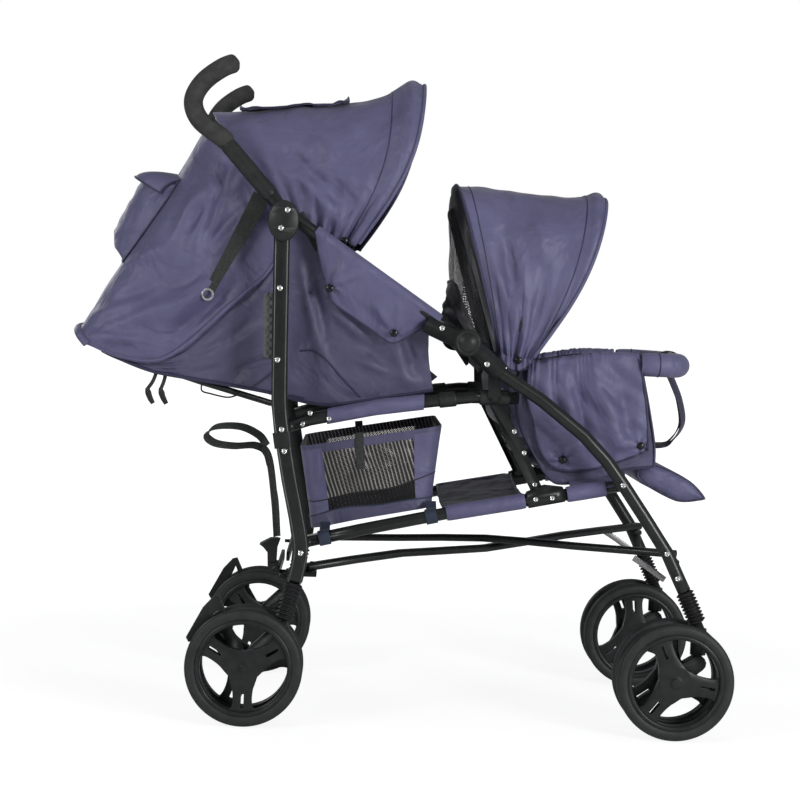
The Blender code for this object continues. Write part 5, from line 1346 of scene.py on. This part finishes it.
def floor_ring(share):
    """The floor's edge drawn in towards its middle, on a floor that sags by 5.5 mm * (1 - share^2)."""
    points = BASKET_MIDDLE + (basket_ring(0.0) - BASKET_MIDDLE) * share
    points[:, 2] = np.interp(points[:, 0], FLOOR_X, FLOOR_Z) - 0.0055 * (1 - share ** 2)
    return points


def band_on_bag(name, level_from, level_to, look, lift=0.0012, cols=slice(None)):
    """A tape that follows the basket's wall between two levels, just outside the mesh."""
    rows = closed_ring(np.stack([basket_ring(k) for k in np.linspace(level_from, level_to, 8)]))[:, cols]
    sign = outward_sign(rows, np.array([0.18, 0, 0.38]))
    rows = rows + sign * normals_of(rows) * lift
    sheet(name, rows if sign > 0 else rows[:, ::-1], 0.0016, look, fold=0.152)


def wavy_band(name, low, high, wave_height, turns, look, edge_look, lift):
    """A lining from one level up to a wavy line: top = high + wave_height * sin(turns * angle), and a
    finer wave."""
    rows = np.stack([basket_ring(k) for k in np.linspace(0, 1, 60)])
    angle = np.linspace(0, math.tau, ROUND, endpoint=False)
    top = high + wave_height * (np.sin(turns * angle) + 0.5 * np.sin((turns * 2 + 1) * angle + 1.0))
    level = low + np.linspace(0, 1, 12)[:, None] * (top - low)[None]
    at = np.linspace(0, 1, 60)
    grid = np.stack([[np.interp(level[:, j], at, rows[:, j, k]) for k in range(3)] for j in range(ROUND)])
    grid = facing_out(closed_ring(np.moveaxis(grid, [0, 1, 2], [1, 2, 0])), (0.18, 0, 0.38))
    grid = grid + normals_of(grid) * lift
    sheet(name, grid, 0.0008, look, fold=0.152)
    hem(name + "_edge", grid[-1], 0.0012, edge_look, 8, slot=SLOT_OF_LOOK[look.name], fold=0.152)


BASKET_MIDDLE = np.array([0.185, 0.0, 0.0])
floor_rings = [floor_ring(share) for share in np.linspace(0.04, 0.97, 22)]
bag = closed_ring(np.stack(floor_rings + [basket_ring(k) for k in np.linspace(0, 1, 34)]))
bag = facing_out(bag, (0.18, 0, 0.4))
sheet("basket_bag", bag, 0.001, BASKET_MESH, "hung", replaces=["basket"], fold=0.15)
band_on_bag("basket_top_binding", 0.9, 1.01, INDIGO_PAINTED_SHADE)
wavy_band("basket_net_lining", 0.1, 0.36, 0.045, 3, FINE_NET, LINING, 0.0008)
wavy_band("basket_floor_panel", -0.01, 0.15, 0.022, 4, INDIGO_PAINTED_SHADE, CLIP_BLUE, 0.0022)
ring_now = basket_ring(0.5)
for label, s in SIDES:
    for end, corner_x in (("rear", 0.084), ("front", 0.28)):
        spot = int(np.argmin((ring_now[:, 0] - corner_x) ** 2 + (ring_now[:, 1] - s * 0.149) ** 2))
        picks = np.arange(spot - 4, spot + 5) % ROUND
        band_on_bag(f"basket_corner_binding_{end}_{label}", 0.0, 0.95, INDIGO, 0.0014, picks)
    tab = np.linspace((0.16, s * 0.1525, 0.444), (0.166, s * 0.1525, 0.388), 30)
    tape(f"basket_tab_{label}", tab, (13, 2.2, 0.9), WEBBING, X_AXIS, fold=0.155)
    for number, (x, z) in enumerate(((0.1137, 0.283), (0.276, 0.3215))):
        rail = on_lower(x - 0.0085, x + 0.0085, s, 8)
        tape(f"basket_clip_{number}_{label}", rail, (22.5, 23.5, 9), CLIP_BLUE, steps=4,
             body=f"{label}_side")
        hang = np.linspace((x, s * 0.1835, z + 0.006), (x, s * 0.152, z + 0.02), 12)
        tape(f"basket_clip_tape_{number}_{label}", hang, (16, 2, 0.9), CLIP_BLUE, X_AXIS, fold=0.184)
print("basket grid:", bag.shape)

# %% [markdown]
# ## Foot tray
# Behind the front seat a cloth tray spans the two lower rails, where the rear child's feet rest. It is
# sewn into sleeves round the rails and sags between them.

# %% Tray and rail sleeves
x = np.linspace(0.3, 0.425, 36)[:, None]
y = np.linspace(-1, 1, 60)[None]
z = np.interp(x, *LOWER_RAIL.T) + 0.0105 - 0.016 * (1 - y ** 2) + 0.001 * soft_noise(x * 4, y, 61)
tray_half = np.interp(x, [0.088, 0.566], [0.184, 0.176]) - 0.001
tray = np.stack([np.broadcast_to(x, z.shape), tray_half * y, z], axis=-1)
if normals_of(tray)[..., 2].mean() < 0:
    tray = tray[:, ::-1]
sheet("foot_tray", tray, 0.002, INDIGO_PAINTED_DEEP_SHADE, "hung", fold=0.184)
edged("foot_tray_hem", (tray[0], tray[-1]), 0.0022, sides=8, fold=0.184)
for label, s in SIDES:
    seat_rail = on_lower(0.485, 0.57, s)
    seat_x = seat_rail[:, 0]
    upper = np.stack([seat_x + 0.004, np.full(40, s * 0.1545), np.interp(seat_x, *INNER_LOW.T) + 0.004],
                     axis=1)
    w = np.linspace(0, 1, 12)[:, None, None]
    skirt = (1 - w) * upper[None] + w * (seat_rail + np.array([0, s * 0.0105, 0.002]))[None]
    skirt[..., 1] += s * 0.0035 * np.sin(math.pi * w[..., 0])
    sheet(f"front_seat_skirt_{label}", facing_out(skirt, (0.53, 0, 0.37)), 0.0016, INDIGO_PAINTED_SHADE, "hung",
          body=f"{label}_side")
    for number, (a, b) in enumerate(((0.2989, 0.419), (0.483, 0.542))):
        path = on_lower(a, b, s) + s * 0.0003 * Y_AXIS
        sleeve_on(f"rail_sleeve_cloth_{number}_{label}", path, 0.0122, INDIGO, f"{label}_side")
print("tray grid:", tray.shape)

# %% [markdown]
# ## Straps
# A pull loop on the right leg releases the fold. Two tapes hold the lying back up from the handle tubes,
# and short straps with buckles hang below it. Straps are flat bars of webbing carried along a curve, and
# are modelled directly.

# %% Straps and buckles
PULL = mm((40, 280), (34, 340), (23, 402), (4, 418.5), (-30, 417), (-60, 420.5), (-73, 432), (-58, 445.5),
          (-21, 447), (7, 435), (20, 419))
PULL_BUCKLE = mm((15, 417.5), (20.5, 404), (24.5, 390))
PULL_RETURN = mm((43, 280), (38, 335), (30, 370), (22.5, 400))
HANGER = mm((0, 180, 800), (-20, 179, 760), (-48, 177, 706), (-76, 174.5, 652))
TUBE_STRAP = mm((58, 183.5, 776), (74, 183, 750), (90, 181.5, 722))
WIRE = mm((-85, -140, 510), (-84, -142, 499), (-70, -144, 495), (-45, -144, 490.5), (-30, -143, 494))
EYELET = mm((5.8, 0), (6.6, 1.1), (8, 1.4), (9.2, 1), (9.8, 0), (9.2, -0.8), (6.2, -0.8))
HANGING = (0.94, -0.3, 0)


def hanger(name, points, width, across, fold):
    """A tape nearly twice as wide at its upper end as at its eyelet."""
    wide = width * np.interp(np.linspace(0, 1, 40), [0, 0.25, 0.7, 1], [1.75, 1.6, 1.15, 1.0])
    offset = np.linspace(-0.5, 0.5, 9)[:, None] * wide[:, None, None] * unit(np.array(across))
    piece(name, sheet_shape(curve_through(points, 40)[:, None] + offset, 0.0022), WEBBING, crease=60,
          fold=fold)


tape("fold_pull_strap", with_y(curve_through(PULL, 120), -0.16), (17, 2.8, 1.1), WEBBING, (0.4, 0.78, 0.45),
     replaces=["fold_strap"])
tape("fold_strap_buckle", with_y(curve_through(PULL_BUCKLE, 12), -0.16), (24, 7.5, 2), PLASTIC)
tape("fold_pull_strap_return", with_y(curve_through(PULL_RETURN, 40), -0.158), (6, 2.2, 0.9), WEBBING,
     (1.0, 0.3, 0))
for label, s in SIDES:
    hanger(f"back_hanger_{label}", HANGER * (1, s, 1), 0.016, (0.86, 0, -0.5), 0.18)
    ringlet = turned_shape(EYELET, (-0.0775, s * 0.1752, 0.648), (0, s, 0), 30)
    piece(f"back_hanger_eyelet_{label}", ringlet, SILVER, fold=0.18)
    tape(f"tube_strap_{label}", curve_through(TUBE_STRAP * (1, s, 1), 40), (14, 2.2, 0.924), WEBBING,
         (0.84, 0, 0.54), body=f"{label}_side")
for number, (x, lean) in enumerate(((-0.153, -0.015), (-0.139, -0.0085))):
    drop = [(x, -0.148, 0.53), (x + lean * 0.4, -0.149, 0.512), (x + lean, -0.149, 0.498)]
    tape(f"hanging_strap_{number}", curve_through(drop, 40), (6, 2.2, 0.924), WEBBING, HANGING, fold=0.155)
    clip = np.array((x + lean, -0.149, 0)) + mm((0, 0, 501), (4, 0, 488), (10, 0, 477))
    tape(f"hanging_buckle_{number}", curve_through(clip, 12), (8.5, 4, 1.5), PLASTIC, HANGING, fold=0.155,
         scale=np.interp(np.arange(12), [0, 3, 8, 11], [0.7, 1.15, 1.0, 0.8]))
hem("backrest_wire_loop", curve_through(WIRE, 50), 0.0013, STEEL_BLACK, fold=0.15)

# %% Leg details
REAR_LEG = mm((34, 745), (34, 729), (37, 560), (39, 487), (45, 442), (58, 374), (71, 317), (79, 273),
              (77, 245), (71, 217))
LEG_CLIP = mm((43.5, 216, 444.5), (47.5, 216, 421.5))
SILVER_LINK = mm((591, 174, 268), (612, 175, 255), (640, 176.5, 236))


def slotted_strip(s):
    """A flat strip with round ends whose face is lifted in a pattern of small studs: a sine of both
    directions."""
    t = np.linspace(0, 1, 90)[:, None]
    w = np.linspace(-1, 1, 22)[None, :]
    half = 0.0086 * np.sqrt(np.clip(1 - np.clip(np.abs(2 * t - 1) * 1.09 - 0.09, 0, 1) ** 14, 0.02, 1))
    studs = np.clip(np.sin(t * math.pi * 16) * np.sin((w + 1) * math.pi * 1.5) * 2.4, -1, 1)
    studs = studs * (np.abs(w) < 0.8)
    grid = np.stack([0.0175 + 0.003 * t + half * w, s * (0.2135 + 0.0008 * studs),
                     0.654 - 0.0995 * t + 0 * w], axis=-1)
    return facing_out(grid, (0.0175, 0, 0.6))


for label, s in SIDES:
    side = {"body": f"{label}_side"}
    piece(f"leg_strip_{label}", sheet_shape(slotted_strip(s), 0.0024), GREY_STRIP, crease=60, **side)
    tape(f"leg_clip_{label}", np.linspace(*LEG_CLIP * (1, s, 1), 10), (26.5, 17.5, 3), PLASTIC, X_AXIS,
         **side)
    middle = with_y(curve_through(REAR_LEG, 120), s * 0.2233)
    aside = np.cross(unit(np.gradient(middle, axis=0)), s * Y_AXIS)
    # Two pale beads along the leg's edges: painted highlights where its rounded edges catch the light.
    edges = [middle + aside * way * 0.0088 for way in (-1, 1)]
    edged("leg_highlight_bead", edges, 0.0011, PAINT_EDGE_HIGHLIGHT, 8, f"_{label}", **side)
    tape(f"front_silver_link_{label}", even_steps(SILVER_LINK * (1, s, 1), 20), (3.5, 9.5, 1.2), STEEL_DARK,
         **side)
print("strip grid:", slotted_strip(1).shape)

# %% [markdown]
# ## Camera, light and floor
# The camera repeats the photograph's view from the rider's right, a little above the seats. The studio is
# plain: an even pale world, four broad lamps, and a floor that shows only a soft shadow.

# %% Camera
camera_data = bpy.data.cameras.new("photo_camera")
camera_data.lens = 85.5
camera_data.sensor_width = 36.0
camera = placed("photo_camera", camera_data)
right = Vector((0.999, -0.02102, 0.0387)).normalized()
forward = Vector((0.0229, 0.99861, -0.0475)).normalized()
turn = Matrix((right, right.cross(forward), -forward)).transposed().to_4x4()
camera.matrix_world = Matrix.Translation((-0.073, -3.08, 0.636)) @ turn
bpy.context.scene.camera = camera
print("camera lens:", camera_data.lens)

# %% World, lamps and floor
def mixed(tree, share, first, second, kind):
    """Ends a node tree with a mix of two shaders by this share."""
    mix = node(tree, "MixShader")
    for number, socket in enumerate((share, first.outputs[0], second.outputs[0])):
        tree.links.new(socket, mix.inputs[number])
    node(tree, kind, {"Surface": mix.outputs[0]})


def lamp(name, place, target, size, power):
    """A square lamp that faces its target."""
    data = bpy.data.lights.new(name, "AREA")
    data.size = size
    data.energy = power
    obj = placed(name, data)
    obj.location = place
    obj.rotation_euler = (Vector(target) - Vector(place)).to_track_quat("-Z", "Y").to_euler()


world = bpy.data.worlds.new("studio")
bpy.context.scene.world = world
world.use_nodes = True
tree = world.node_tree
tree.nodes.clear()
rays = node(tree, "LightPath").outputs
lit = node(tree, "Background", Color=(0.93, 0.95, 1.0, 1), Strength=0.26)
plain = node(tree, "Background", Color=(1, 1, 1, 1), Strength=1.0)
mixed(tree, calc(tree, "MAXIMUM", rays["Is Camera Ray"], rays["Is Transmission Ray"]), lit, plain,
      "OutputWorld")
lamp("front_lamp", (2.2, -2.5, 1.2), (0.0, 0, 0.55), 0.8, 58)
lamp("back_lamp", (-1.9, 2.3, 1.5), (0.0, 0, 0.5), 1.2, 11)
lamp("rear_lamp", (-2.2, -2.2, 1.6), (-0.1, 0, 0.6), 0.9, 30)
lamp("top_lamp", (0.3, -0.4, 2.8), (0, 0, 0.4), 1.6, 5)

floor_data = bpy.data.meshes.new("floor")
floor_data.from_pydata([(x, y, -0.0005) for x, y in ((-30, -30), (30, -30), (30, 30), (-30, 30))], [],
                       [(0, 1, 2, 3)])
floor = placed("floor", floor_data)
ground = bpy.data.materials.new("pale_floor")
ground.use_nodes = True
tree = ground.node_tree
tree.nodes.clear()
diffuse = node(tree, "BsdfDiffuse", Color=(0.92, 0.92, 0.92, 1))
glow = node(tree, "Emission", Color=(1, 1, 1, 1), Strength=1.17)
away = node(tree, "VectorMath", operation="LENGTH")
tree.links.new(node(tree, "TexCoord").outputs["Object"], away.inputs[0])
fade = node(tree, "MapRange", {"Value": away.outputs["Value"]}, interpolation_type="SMOOTHSTEP",
            **{"From Min": 0.75, "From Max": 2.2, "To Min": 0.74, "To Max": 1.0})
seen = node(tree, "LightPath").outputs["Is Camera Ray"]
mixed(tree, calc(tree, "MULTIPLY", seen, fade.outputs["Result"]), diffuse, glow, "OutputMaterial")
floor_data.materials.append(ground)
bpy.context.scene.view_settings.view_transform = "Standard"
print("lamps:", len(bpy.data.lights))
